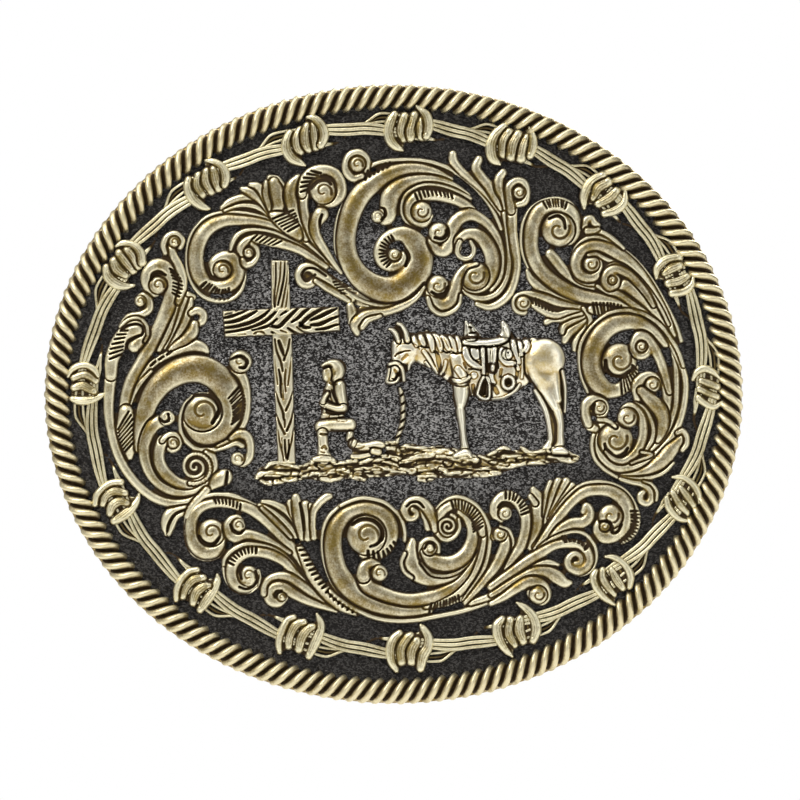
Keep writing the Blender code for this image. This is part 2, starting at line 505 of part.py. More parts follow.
        ("s", "262,508,2 271,516,2.5 282,527,2.5 291,537,2"),
        ("s", "290,502,3 292,511,3 295,519,2"),
        ("s", "296,497,4 298,508,5.5 300,522,5.5 303,536,4.5"),
        ("s", "306,505,5 308,516,5.5 309,528,4.5 308,538,3.5"),
        ("s", "311,505,2.5 312,512,2.5 313,520,2.5"),
        ("s", "330,496,3 326,497,4 319,503,4 314,511,3.5 313,523,3 314,537,3"),
        ("s", "300,547,3.5 306,560,5 312,573,6 320,585,6 331,596,6.5 343,605,6 356,611,4"),
        ("r", "330,516,2.4 337.5,507.5,2.6 350,501,2.6 361,498,2.6 372.5,499,2.6 384,502.5,2.6 392.5,509,2.6 400,517.5,2.6 404,530,2.6 404,540,2.2"),
        ("r", "340,593,2 333,583,2.4 327,569,2.6 323.5,555,2.6 322.5,541,2.6 324,527,2.6 329,516,2.6 337,508,2.4"),
        ("r", "330,590,2.4 338,597,2.8 350,605,2.8 361,611,2.8 372.5,616,2.8 386,619,2.8 401,620,2.8 416,619,2.8 430,616.5,2.8 443,614,2.8 460,610.5,2.8 475,606,2.8 490,600,2.8 508,592,2.4"),
        ("s", "470,602,3 485,597,3.5 500,590,3.5 512,584,2.5"),
        ("s", "430,608,3.5 416,610,4.5 400,610,5.5 384,607,6.5 370,602,7.5 357,594,9 346,583,10 338,570,9.5 334,555,9 333,540,8.5 336,527,8 344,516,7 354,510,6 366,508,6 378,512,7 387,520,8 390,532,8 386,544,8 377,551,8 366,551,8"),
        ("b", "366,535,15"),
        ("s", "471,596,2 458,597,4 445,601,4.5 432,604,4"),
        ("s", "484,530,4 483,545,4.5 478,560,5 470,575,5.5 460,587,6 448,596,5.5 436,602,4.5 425,605,3"),
        ("s", "478,530,2 475,545,3 470,560,4 463,574,4.5 452,585,5 440,592,5.5 425,597,6.5 410,599,6.5 395,597,6.5 380,592,7 367,585,7 363,575,7"),
        ("s", "363,575,7 364,566,5.5 371,562,4.5 377,565,4"),
        ("b", "379,572.5,6.5"),
        ("s", "412,540,3 411,549,6 411,560,9 416,571,9 427,578,7 440,579,5 452,576,3.5 462,568,2"),
        ("r", "404,553,2.5 401,562,2.5 404,571,2.5 411,577,2.5"),
        ("r", "421,557.5,2 426,565,2.2 435,569,2.2 445,570,2.2 455,567.5,2.2 462.5,562.5,2"),
        ("r", "421,562,2 430,572.5,2.2 440,575,2.2 450,574,2.2 460,569,2.2 467.5,561,2.2 474,550,2"),
        ("s", "422,556,4 421,546,4 425,541,4 431,540,4 436,545,3.5 437,551,3"),
        ("s", "459,512,3 466,518,4 471,528,5 471,540,6 465,553,7 455,561,7.5 443,563,7.5 431,560,7 425,552,5"),
        ("b", "429,548,5.5"),
        ("r", "435,528,2 434,515,2.4 439,506,2.6 446,500,2.8 455,497,2.8 465,499,2.8 475,505,2.8 482.5,515,2.8 487.5,526,2.8 489,537,2.8 487.5,551,2.8 484,565,2.8 477.5,578,2.6 469,590,2.4 463,599,2"),
        ("s", "437,524,4 440,513,4.5 448,506,4.5 457,504,4.5 466,508,5 474,515,5 479,524,4.5 481,533,3.5"),
        ("p", "447,526 12 2.2 3.6 -1"),
        ("r", "435,524,2 436,532,2.4 441,538,2.6 448,539.5,2.6 455,535,2.4 459,527,2.2 458,519,2"),
        ("s", "427,528,3 425,519,3 421,511,2.5"),
        ("s", "434,530,2.5 432,520,4 428,510,5.5 422,503,5.5 414,500,4.5 407,503,4 404,510,4 407,517,3.5 413,518,3 416,513,3 412,509,2.5"),
        ("s", "464,602,2 473,592,3 484,579,4 494,566,5 501,553,5.5 505,541,5.5 503,533,5 497,531,4.5 494,536,4"),
        ("b", "499,534,5.5"),
        ("r", "499,526,1.5 508,530,2.2 512,541,2.2 512,552,2.2 508,561,2"),
        ("s", "505,568,2.5 512,557,4 519,546,5 524,533,5.5 525,519,5.5 520,506,5.5 511,497,5.5 502,497,6 495,504,5.5 494,513,5 500,518,4"),
        ("b", "504,513,5.5"),
        ("s", "532,489,3 536,498,6 537,511,6 536,524,5 533,536,4 529,547,3"),
        ("s", "529,496,2.5 534,503,3"),
        ("s", "549,482,2.5 546,491,3 544,502,2.5 543,515,2"),
        ("s", "557,481,4 552,494,4 548,508,3 544,522,2"),
        ("s", "565,481,4 560,492,4 554,505,3 548,518,2"),
        ("s", "571,485,3 565,494,3 558,504,2.5 550,516,2"),
        ("r", "532.5,546,2 542.5,532.5,2.2 551,517.5,2.2 560,504,2.4 570,492.5,2.4 580,485,2.4 591,482,2.4 602.5,482,2.4 614,485,2.4 624,491,2.4 631,500,2.4 636,511,2.4 637,520,2.4 635,530,2.4 629,537.5,2.4 621,542.5,2"),
        ("s", "534,549,2.5 543,537,4 552,524,4.5 562,511,5 572,500,5 583,492,5.5 595,490,5.5 608,491,6 619,497,6.5 625,507,7 625,519,7 620,529,6.5 613,535,6.5 603,537,6 597,530,5.5 598,523,4.5 604,522,4"),
        ("b", "609,516,9.5"),
        ("b", "603,526,4"),
        ("s", "546,545,2 553,536,4.5 561,528,5.5 571,523,5.5 581,522,5.5 587,517,5.5 588,510,4.5 585,506,4 582,511,3"),
        ("r", "537.5,547.5,2 546,541,2.2 556,536,2.4 565,532.5,2.4 575,531,2.4 584,534,2.4 590,540,2.4 594,547.5,2.4 595,556,2.4 592.5,565,2.4 587.5,571,2.4 579,574,2.4 570,571,2.4 564,566,2.2 564,559,2"),
        ("s", "490,586,4 508,573,4.5 525,561,5 540,552,5 553,545,4.5 566,543,4.5 577,544,4.5 585,550,4.5 588,559,4.5 584,567,4.5 576,570,4.5 568,566,4 567,558,3.5 573,553,3 579,556,3 579,562,3 574,563,2.5"),
        ("s", "532,566,1.5 540,563,3 549,562,3 557,564,1.5"),
        ("s", "490,594,2.5 505,585,3.5 519,577,4 532,571,4.5 545,571,5.5 555,576,6.5 563,582,5 569,582,2.5"),
        ("s", "490,603,2.5 503,596,4 516,587,5 528,581,5.5 538,583,6 544,591,6 542,598,6 534,597,5.5 529,592,3.5"),
        ("b", "537,594,7"),
    ],
    "ground_strip": [
        ("g", "264,473,7 285,474,8 305,472,7 325,470,11 345,470,9 365,469,9 385,465,12 405,462,13 430,463,15 455,464,14 475,466,12 495,464,10 515,459,9 530,457,7 548,456,7 565,457,6"),
        ("s", "386,443,1.8 396,442.5,1.8"),
        ("s", "386,448,1.8 396,449,2 404,451.5,2"),
        ("s", "398,450,2 406,446,2.4 416,447,2.4 426,449,2.4 436,448,2 441,447.5,2"),
        ("s", "266,468,1.5 271,463.5,2.2 280,463,2 290,465,2 300,467,2 308,464,2.2 316,460,2.6 324,457.5,3 331,459,3 336,463,2.2 346,462,2 356,461,2.2"),
        ("s", "257,477,2.5 262,474,3 272,473.5,3.2 285,474.5,3.4 296,474,3.4"),
        ("s", "262,481,2 268,483,2.4 276,482,3 286,480,3 296,479,2.4"),
        ("s", "300,479,1.5 308,475,2.2 316,473,2.2 322,475,2.4 330,472,2 340,469,2.6 348,471,2.4"),
        ("s", "322,479,2.4 330,480,2.6 338,478.5,2.6 342,476,2"),
        ("s", "356,470,2.4 366,469.5,2.8 380,469,3 395,469.5,3 410,471,3 420,468,3.4 432,467,3.4 442,467,2.6"),
        ("s", "350,476,1.6 356,478,2.2 364,479.5,2"),
        ("s", "360,463,2 368,460.5,2.4 380,460,2.4 390,462,2.4 398,465,2"),
        ("s", "382,456,2 390,457,2.4 398,460,2.8 406,462,2.4"),
        ("s", "400,463,2 410,459,3 420,455,4 432,454,5 444,453,5.5 456,455,6 466,458,5.5 476,459.5,3.5"),
        ("s", "418,476,2 426,475,3 434,476,2.4 428,480,2 418,480,1.6"),
        ("s", "440,470,3 450,473,3 462,472,3 472,470,2.6 484,469.5,2.4 496,468,2.4 506,466,3 516,464,3.2 524,463,2.6"),
        ("s", "475,475,2.8 486,474,3 498,472.5,2.8"),
        ("s", "478,456,1.4 484,458,1.8 490,461,1.8 500,463,1.8 506,464,1.8"),
        ("s", "487,455,1.4 494,452,2 502,448,2.2 508,449,1.6"),
        ("s", "502,457,2.2 512,457,2.6 520,457,2.2"),
        ("s", "505,460.5,1.6 514,460,1.6"),
        ("s", "520,447,1.6 525,451,2.4 531,454,2.4 537,452,2 545,450.5,2.4"),
        ("s", "528,463.5,2 538,462.5,2.6 548,461.5,2.2"),
        ("s", "548,450,3 556,451,4.5 564,453,3.5 571,456,2.8 576,458,2.6"),
        ("s", "548,457,2.4 558,459,3 568,460.5,3 575,459.5,2.4"),
    ],
    "horse": [
        ("s", "402,345,13 403,353,14 400,362,10 396,371,8 392,379,6 388,384,3.5"),
        ("s", "394,374,8 398,378,5"),
        ("s", "389,330,1.5 394,334,2.8 399,341,4"),
        ("s", "397,324,1.8 402,329,2.8 407,336,3.6 410,341,4"),
        ("s", "412,347,11 424,352,13 436,355,15 448,357,18 460,361,21"),
        ("s", "436,366,8 446,372,9 452,380,9"),
        ("s", "452,372,12 458,385,12 460,397,8 459,406,5 459,414,5 461,422,4 462,432,3.2 463,441,3.2 464,447,4 462,453,5"),
        ("s", "456,455.5,3.5 464,454,4.5 467,455.5,3"),
        ("s", "462,366,25 480,370,28 498,371,28 512,366,26 525,362,24 537,361,22"),
        ("s", "541,361,22 545,378,16.5 549,390,10 551,399,7 555,409,5.5 559,416,4.2 559,425,3.8 559,436,3.8 559,443,4.4 556,448,5.5"),
        ("s", "536,394,3 541,402,2.8 545,411,2.8 547,420,2.6 548,430,2.6 549,440,2.8 546,446.5,3.6"),
        ("s", "561,372,2.5 564,385,2 564,398,1.8 563,412,1.5"),
    ],
    "saddle": [
        ("s", "466,324,2.5 468,331,4 471,338,6.5"),
        ("s", "462,343,5 475,344,5.5 488,344.5,5 498,342,5.5 505,335,6 503,325,3.5"),
        ("s", "507,334,6.5 510,344,8 520,346,10 522,342,6"),
        ("s", "463,351,8 467,360,8"),
        ("s", "479,356,13 480,366,9"),
        ("s", "495,357,12 500,362,10"),
        ("s", "511,356,13 512,364,9"),
        ("s", "484,360,4.5 484,372,4.5 483,380,4.5"),
        ("s", "482,383,6.5 482,391,6.5"),
        ("s", "492,368,4 493,379,4"),
        ("s", "507,372,9 507,383,8"),
    ],
    "kneeling_figure": [
        ("s", "336,369,10"),
        ("s", "330,372,6.5"),
        ("s", "336,381,4.5 336,390,9 335,402,10.5 335,414,9.5"),
        ("s", "339,388,6 343,398,5 345,408,4.5"),
        ("s", "345,409,4 334,410,3.5 324,406,3.5"),
        ("s", "324,405,3.5 325,397,3"),
        ("s", "350,424,5.5 340,423,6 330,424,6 322,426,6.5"),
        ("s", "321,428,6 322,438,5.5 323,448,5.5 323,453,5.5"),
        ("s", "352,428,4.5 352,436,4 351,444,4.5 362,447,5.5 372,448,5.5 381,447,4.5"),
        ("s", "373,451,4"),
    ],
    "lead_rope": [
        ("s", "401,391,2.4 402,397,2.4 402.5,410,2.6 402,422,2.6 400,429,2.6 396,435,2.4"),
    ],
    "barb_01": [
        ("s", "394,116,3.5 390,124,5 388,133,5 390,142,5 395,148,4 402,152,1.5"),
        ("s", "404,118,4 402,126,5 401,134,5 403,141,3.5"),
        ("s", "414,117,4 412,126,5 410,134,5.5 410,140,4"),
        ("s", "421,122,3.5 420,131,5 421,139,4"),
        ("s", "416,108,1.5 421,112,3 426,118,4.5 428,128,5 426,138,4"),
    ],
    "barb_02": [
        ("s", "290,135,4 287,143,5 287,152,5.5 292,160,5 299,164,3.5 305,167,1.5"),
        ("s", "300,132,4 297,141,5.5 298,150,5 301,154,3"),
        ("s", "307,128,4 305,138,5 306,147,4.5 309,152,3"),
        ("s", "314,127,4 315,138,5 316,149,4"),
        ("s", "307,119,1.5 314,120,3.5 321,127,4.5 324,137,5 321,147,4"),
    ],
    "barb_03": [
        ("s", "189,181,3.5 189,189,5 193,199,5.5 200,206,4.5 206,209,3 210,210,1.5"),
        ("s", "199,177,4 198,187,5 203,196,4"),
        ("s", "207,173,4 207,183,5.5 212,193,4"),
        ("s", "214,171,4 216,181,5 219,190,4"),
        ("s", "206,162,1.5 214,163,3 222,168,4 226,177,5 225,186,4"),
    ],
    "barb_04": [
        ("s", "107,268,3.5 109,277,5 116,284,5.5 124,287,4 130,287,2.5 135,286,1.5"),
        ("s", "115,262,4.5 118,270,5.5 126,276,4"),
        ("s", "120,254,4 126,261,5.5 134,271,4.5"),
        ("s", "128,251,4 134,257,5 139,267,4"),
        ("s", "117,247,1.5 124,244,3 134,246,3.5 141,253,4.5 143,263,4.5"),
    ],
    "barb_05": [
        ("s", "73,399,3 82,401,4.5 92,400,4 100,397,3 105,394,1.5"),
        ("s", "75,388,3.5 84,386,4.5 95,392,3.5"),
        ("s", "75,378,3.5 86,375,4 97,381,3.5"),
        ("s", "69,377,1.5 73,370,3 80,366,3.5 88,366,3.5 95,370,3.5 99,376,2.5"),
    ],
    "barb_06": [
        ("s", "115,521,3.5 123,516,5 132,509,4.5 138,501,3 140,494,1.5"),
        ("s", "111,513,3.5 114,505,5 121,501,4.5 128,503,3.5"),
        ("s", "104,504,3 107,496,4 115,491,4.5 126,493,3.5"),
        ("s", "96,504,3 98,495,3.5 104,488,3.5 112,483,3.5 122,482,3.5"),
    ],
    "barb_07": [
        ("s", "201,609,3.5 207,600,5 214,590,4.5 218,581,3.5 218,574,1.5"),
        ("s", "194,602,3.5 197,592,5 204,586,4.5 210,585,3"),
        ("s", "184,596,3 187,587,4 194,579,4.5 204,577,3.5"),
        ("s", "177,599,2.5 178,588,3.5 183,578,3.5 190,571,3.5 198,569,3"),
    ],
    "barb_08": [
        ("s", "309,655,3.5 315,642,5 320,630,4.5 321,622,3.5 317,613,1.5"),
        ("s", "299,648,4 302,636,5 308,628,4.5 313,626,3.5"),
        ("s", "289,645,3.5 290,635,4.5 296,624,4.5 304,621,3.5"),
        ("s", "280,651,2.5 279,641,3.5 283,628,4 288,619,3.5 294,616,3"),
    ],
    "barb_09": [
        ("s", "396,669,2.5 391,660,4 390,648,5 393,638,4.5 399,632,3.5"),
        ("s", "401,660,4.5 401,648,5.5 406,638,4.5 410,634,3.5"),
        ("s", "411,660,4.5 411,650,5.5 416,640,4.5"),
        ("s", "420,667,4 422,655,5.5 427,646,5 428,637,4.5 424,629,3.5 420,624,1.5"),
    ],
    "barb_10": [
        ("s", "511,655,1.5 504,648,3.5 498,637,5 496,625,5 501,618,3.5"),
        ("s", "514,644,3 508,633,5 509,619,4"),
        ("s", "522,640,4 518,629,5.5 519,618,4"),
        ("s", "516,602,1.5 524,607,3.5 532,616,4.5 535,628,5 532,639,4"),
    ],
    "barb_11": [
        ("s", "613,604,1.5 603,597,3.5 595,587,4 592,577,4 594,571,3"),
        ("s", "613,594,2.5 606,586,4 601,577,4 601,569,3"),
        ("s", "621,587,3.5 615,579,4.5 610,569,3"),
        ("s", "604,556,1.5 613,557,3 623,564,3.5 629,575,4 628,586,3"),
    ],
    "barb_12": [
        ("s", "688,521,1.5 677,518,3 668,508,4 665,498,3"),
        ("s", "686,513,2.5 678,504,4 671,492,3"),
        ("s", "692,505,3 685,495,4 679,487,2.5"),
        ("s", "671,477,1.5 681,477,3 691,484,3.5 697,494,3.5 698,502,2"),
    ],
    "barb_13": [
        ("s", "697,398,3.5 704,404,3.5 713,407,3 721,402,1.5"),
        ("s", "698,389,3.5 706,393,3.5 716,397,3"),
        ("s", "700,381,3.5 708,384,4 716,387,3.5"),
        ("s", "691,380,1.5 696,372,3.5 703,369,4 711,372,3.5 719,379,1.5"),
    ],
    "barb_14": [
        ("s", "655,279,1.5 656,269,4 665,261,5 678,258,4"),
        ("s", "663,274,3 670,269,5 678,266,4"),
        ("s", "667,284,4 677,282,4.5 686,277,3.5"),
        ("s", "671,294,4 682,292,4 690,286,3.5 692,277,1.5"),
    ],
    "barb_15": [
        ("s", "583,209,2 583,197,4.5 590,184,5.5 602,176,4"),
        ("s", "592,199,3.5 597,189,5 607,183,4.5"),
        ("s", "597,205,4 608,199,5 615,192,4"),
        ("s", "603,215,3.5 615,211,4.5 623,203,3.5 624,190,1.5"),
    ],
    "barb_16": [
        ("s", "499,166,1.5 492,160,5 490,148,5.5 494,137,5 503,128,4"),
        ("s", "502,155,5 503,143,5.5 508,134,4.5"),
        ("s", "510,158,5 512,146,5.5 517,136,4.5"),
        ("s", "520,160,5 523,148,5.5 526,139,4"),
        ("s", "529,157,4 532,146,4.5 531,135,3 528,129,1.5"),
    ],
}

# ------------------------------------------------------------ base plate
PLATE_A = HALF_W - 2 * ROPE_R - 0.00035
PLATE_B = HALF_H - 2 * ROPE_R - 0.00035
me = bpy.data.meshes.new("base_plate")
bm = bmesh.new()
bmesh.ops.create_cone(bm, cap_ends=True, segments=96, radius1=1.0, radius2=1.0,
                      depth=PLATE_T)
bmesh.ops.rotate(bm, verts=bm.verts, matrix=Matrix.Rotation(math.pi / 2, 3, "X"))
for v in bm.verts:
    v.co.x *= PLATE_A
    v.co.z *= PLATE_B
    v.co.y -= PLATE_T / 2
bow(bm, 0.010)
bm.to_mesh(me)
bm.free()
plate = finish(bpy.data.objects.new("base_plate", me), "base_plate", "ground")

# ------------------------------------------------------------ rope edge
ROPE_N = 96
cu = bpy.data.curves.new("rope_edge", "CURVE")
cu.dimensions = "3D"
cu.bevel_depth = ROPE_R
cu.bevel_resolution = 2
cu.render_resolution_u = 0
sp = cu.splines.new("POLY")
sp.points.add(ROPE_N - 1)
sp.use_cyclic_u = True
for i, pt in enumerate(sp.points):
    a = 2 * math.pi * i / ROPE_N
    x = (HALF_W - ROPE_R) * math.cos(a)
    z = (HALF_H - ROPE_R) * math.sin(a)
    pt.co = (x, ROPE_Y + BOW * x * x, z, 1.0)
ob = bpy.data.objects.new("rope_tmp", cu)
CUTTERS.objects.link(ob)
bpy.context.view_layer.update()
me = bpy.data.meshes.new_from_object(ob.evaluated_get(bpy.context.evaluated_depsgraph_get()))
bpy.data.objects.remove(ob, do_unlink=True)
bm = bmesh.new()
bm.from_mesh(me)
bmesh.ops.remove_doubles(bm, verts=bm.verts, dist=1e-7)
bmesh.ops.recalc_face_normals(bm, faces=bm.faces[:])
if bm.calc_volume(signed=True) < 0:
    bmesh.ops.reverse_faces(bm, faces=bm.faces[:])
bm.to_mesh(me)
bm.free()
me.shade_smooth()
finish(bpy.data.objects.new("rope_edge", me), "rope_edge", "pale")

# ------------------------------------------------------------ barbed wire
BACK = -(PLATE_T + GAP)


def oval(offset, n=96):
    t = np.linspace(0, 2 * math.pi, n, endpoint=False)
    return np.stack([WIRE_U + (WIRE_A + offset) * np.cos(t),
                     WIRE_V + (WIRE_B + offset) * np.sin(t)], axis=1)


cut_out("wire_ring", [oval(WIRE_HALF), oval(-WIRE_HALF)], BACK, WIRE_T, "brass")

ROPE_IN_A = HALF_W / UNIT - 2 * ROPE_R / UNIT - 2.5
ROPE_IN_B = HALF_H / UNIT - 2 * ROPE_R / UNIT - 2.5


def inside_rope(sheet):
    """Signed room to the rope's inner edge, so no overlay runs under it."""
    du = (sheet.us[None, :] - SHEET_U) / ROPE_IN_A
    dv = (sheet.vs[:, None] - SHEET_V) / ROPE_IN_B
    return (1.0 - np.hypot(du, dv)) * ROPE_IN_B


GRID = (60, 95, 730, 700, 1.0)
TAKEN = None


def metal(entry, grow):
    sheet = Sheet(*GRID)
    for kind, text in entry:
        if kind == "p":
            cu_, cv_, *rest = text.split()[0].split(",") + text.split()[1:]
            r, turns, w, sense = (float(x) for x in rest)
            sheet.discs(spiral(float(cu_), float(cv_), r, turns, w, sense), grow)
            sheet.discs([(float(cu_), float(cv_), r)], grow)
        else:
            sheet.discs(smooth(parse(text)), grow)
    return sheet


def overlay(name, y_back, thick, tone, grow, tol, smallest=40.0, avoid=None,
            wire_clear=False, core=0.0):
    sheet = metal(DESIGN[name], grow)
    if core:
        mids = [parse(text)[len(parse(text)) // 2][:2] for _, text in DESIGN[name]]
        sheet.discs(smooth([(u, v, core) for u, v in mids]), 0.0)
    sheet.f = np.minimum(sheet.f, inside_rope(sheet))
    if avoid is not None:
        sheet.f = np.minimum(sheet.f, -avoid - SHEET_GAP)
    if wire_clear:
        du = (sheet.us[None, :] - WIRE_U) / (WIRE_A - WIRE_HALF)
        dv = (sheet.vs[:, None] - WIRE_V) / (WIRE_B - WIRE_HALF)
        room = (1.0 - np.hypot(du, dv)) * (WIRE_B - WIRE_HALF) - SHEET_GAP
        sheet.f = np.minimum(sheet.f, room)
    loops = sheet.loops(tol, smallest)
    cut_out(name, loops, y_back, thick, tone)
    return sheet.f


barbs = np.full_like(Sheet(*GRID).f, -9.0)
for n in range(1, 17):
    barbs = np.maximum(barbs, overlay("barb_%02d" % n, BACK - WIRE_T - GAP, BARB_T,
                                      "pale", 0.6, 0.5, 1e9, core=3.0))

# centre scene first, then the scrolls round it, each clear of the last
horse = overlay("horse", BACK, HORSE_T, "gold", 0.4, 0.5, 30.0)
taken = np.maximum(horse, barbs)
for name, tone in (("kneeling_figure", "pale"), ("lead_rope", "pale")):
    f = overlay(name, BACK, SCENE_T, tone, 0.4, 0.45, 20.0, avoid=taken)
    taken = np.maximum(taken, f)
overlay("saddle", BACK - HORSE_T - GAP, SADDLE_T, "pale", 0.4, 0.5, 1e9)

cross = Sheet(*GRID)
lean = (286.0 - 280.3) / (462.0 - 260.0)
du = np.abs(cross.us[None, :] - (280.3 + lean * (cross.vs[:, None] - 260.0)))
dv = np.abs(cross.vs[:, None] - 361.0)
cross.f = np.minimum(9.7 - du, 101.0 - dv)
cut_out("cross_upright", cross.loops(0.4, 1e9), BACK, SCENE_T * 0.75, "brass")
upright = cross.f.copy()
beam = Sheet(*GRID)
tilt = (309.5 - 311.5) / (339.0 - 223.0)
dv = np.abs(beam.vs[:, None] - (323.5 + tilt * (beam.us[None, :] - 281.5)))
du = np.abs(beam.us[None, :] - 281.5)
beam.f = np.minimum(12.8 - dv, 58.0 - du)
beam_ob = cut_out("cross_beam", beam.loops(0.4, 1e9), BACK, SCENE_T * 1.25, "brass")
x0, z0 = plan(268.3, 345.0)
x1, z1 = plan(294.7, 302.0)
saddle_cut = block("beam_housing", x0, x1, BACK - SCENE_T * 0.75 - GAP + BOW * 0.0145 ** 2,
                   0.004, z0, z1)
boolean(beam_ob, saddle_cut, "DIFFERENCE")
taken = np.maximum(taken, np.maximum(upright, beam.f))
f = overlay("ground_strip", BACK, SCENE_T * 0.8, "brass", 0.6, 0.6, 60.0, avoid=taken)
taken = np.maximum(taken, f)
for name in ("scroll_left", "scroll_upper_left", "scroll_upper_right",
             "scroll_right", "scroll_bottom"):
    f = overlay(name, BACK, SCROLL_T, "brass", 1.1, 0.75, 75.0, avoid=taken,
                wire_clear=True)
    taken = np.maximum(taken, f)

# ------------------------------------------------------------ hinge bracket
half = EAR_IN + EAR_T
base = block("hinge_base", BASE_X0, BASE_X1, BASE_Y0, BASE_Y0 + BASE_T, -half, half)
for side in (-1, 1):
    z0, z1 = sorted((side * EAR_IN, side * half))
    ear = block("ear_%d" % side, HINGE_X - 0.0023, HINGE_X + 0.0023,
                BASE_Y0 + BASE_T * 0.4, HINGE_Y, z0, z1)
    boolean(base, ear, "UNION")
    top = rod("ear_top_%d" % side, 0.0023, EAR_T, 24, "Z",
              (HINGE_X, HINGE_Y, (z0 + z1) / 2))
    boolean(base, top, "UNION")
hole = rod("pin_hole", PIN_R + 0.00015, 0.06, 16, "Z", (HINGE_X, HINGE_Y, 0))
boolean(base, hole, "DIFFERENCE")
finish(base, "hinge_base", "steel")

pin = rod("hinge_pin", PIN_R, PIN_LEN, 16, "Z", (HINGE_X, HINGE_Y, 0))
for side in (-1, 1):
    head = rod("pin_head_%d" % side, PIN_R * 1.6, 0.0008, 16, "Z",
               (HINGE_X, HINGE_Y, side * (half + 0.0002 + 0.0004)))
    boolean(pin, head, "UNION")
finish(pin, "hinge_pin", "steel")

# ------------------------------------------------------------ bail loop
y0, y1 = HINGE_Y - LOOP_T / 2, HINGE_Y + LOOP_T / 2
loop = block("bail_loop", LOOP_BAR_X - BAR_W / 2, LOOP_BAR_X + BAR_W / 2, y0, y1,
             -LOOP_OUT, LOOP_OUT)
for side in (-1, 1):
    z0, z1 = sorted((side * LOOP_IN, side * LOOP_OUT))
    arm = block("arm_%d" % side, HINGE_X, LOOP_BAR_X, y0, y1, z0, z1)
    boolean(loop, arm, "UNION")
    eye = rod("eye_%d" % side, EYE_R, LOOP_OUT - LOOP_IN, 24, "Z",
              (HINGE_X, HINGE_Y, (z0 + z1) / 2))
    boolean(loop, eye, "UNION")
eye_hole = rod("eye_hole", PIN_R + 0.0002, 0.06, 16, "Z", (HINGE_X, HINGE_Y, 0))
boolean(loop, eye_hole, "DIFFERENCE")
finish(loop, "bail_loop", "steel")

# ------------------------------------------------------------ stud
FOOT_Y0 = BOW * (abs(STUD_X) + STUD_FOOT_R) ** 2 + GAP
foot = rod("stud_foot", STUD_FOOT_R, STUD_FOOT_T, 32, "Y",
           (STUD_X, FOOT_Y0 + STUD_FOOT_T / 2, 0))
finish(foot, "stud_foot", "steel")
STUD_Y0 = FOOT_Y0 + STUD_FOOT_T + GAP
# profile runs down the outer side, tip to root
prof = [(0.0, STUD_LEN), (STUD_HEAD_R * 0.55, STUD_LEN),
        (STUD_HEAD_R * 0.9, STUD_LEN - 0.0004), (STUD_HEAD_R, STUD_LEN - 0.0011),
        (STUD_HEAD_R * 0.85, STUD_LEN - 0.0018), (STUD_NECK_R, STUD_LEN - 0.0025),
        (STUD_NECK_R, 0.0008), (STUD_NECK_R * 1.35, 0.0), (0.0, 0.0)]
me = bpy.data.meshes.new("stud_post")
me.from_pydata([(r, 0, z) for r, z in prof], [(i, i + 1) for i in range(len(prof) - 1)], [])
stud = bpy.data.objects.new("stud_post", me)
stud.location = (STUD_X, STUD_Y0, 0)
stud.rotation_euler = (-math.pi / 2, 0, 0)
md = stud.modifiers.new("turn", "SCREW")
md.axis = "Z"
md.steps = 24
md.render_steps = 24
md.use_merge_vertices = True
md.merge_threshold = 0.00001
md.use_smooth_shade = True
finish(stud, "stud_post", "steel")
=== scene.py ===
"""Looks of the western trophy buckle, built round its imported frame.

The face is a relief: every ornament is a table of round-ended tapered strokes
on a design sheet, raised one over another into a height field, with cut
grooves, and meshed as a closed solid that is let into the plate's ground.
Heights are in mm above the ground, sheet positions in units of 0.128 mm.
"""
import math
import bpy
import bmesh
import numpy as np
from mathutils import Matrix, Vector


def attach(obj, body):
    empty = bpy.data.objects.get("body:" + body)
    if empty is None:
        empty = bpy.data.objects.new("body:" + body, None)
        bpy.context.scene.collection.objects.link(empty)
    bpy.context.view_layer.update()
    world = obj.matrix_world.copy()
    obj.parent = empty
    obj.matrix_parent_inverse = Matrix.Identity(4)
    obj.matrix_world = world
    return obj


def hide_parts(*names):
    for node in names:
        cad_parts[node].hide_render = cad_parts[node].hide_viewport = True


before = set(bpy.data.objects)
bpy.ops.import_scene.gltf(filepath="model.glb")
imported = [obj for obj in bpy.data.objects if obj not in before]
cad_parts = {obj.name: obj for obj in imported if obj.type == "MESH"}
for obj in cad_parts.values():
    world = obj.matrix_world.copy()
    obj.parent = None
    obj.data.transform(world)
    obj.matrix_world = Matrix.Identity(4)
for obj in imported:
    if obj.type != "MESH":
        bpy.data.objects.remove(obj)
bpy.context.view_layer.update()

# ------------------------------------------------------------ dimensions
UNIT = 0.000128
SHEET_U, SHEET_V = 393.6, 394.2
HALF_W, HALF_H = 348.7 * UNIT, 308.7 * UNIT
BOW = 0.0025 / HALF_W ** 2
PLATE_T = 0.0020
ROPE_R, ROPE_Y = 0.00170, -0.00175
WIRE_U, WIRE_V, WIRE_A, WIRE_B = 397.0, 388.5, 308.0, 259.5
# where the sixteen barbs sit round the wire's oval, in degrees
BARB_AT = [-178.5, -151.3, -128.0, -107.4, -87.7, -68.4, -48.1, -25.9,
           -0.1, 24.6, 46.6, 67.7, 87.8, 108.6, 130.6, 155.2]

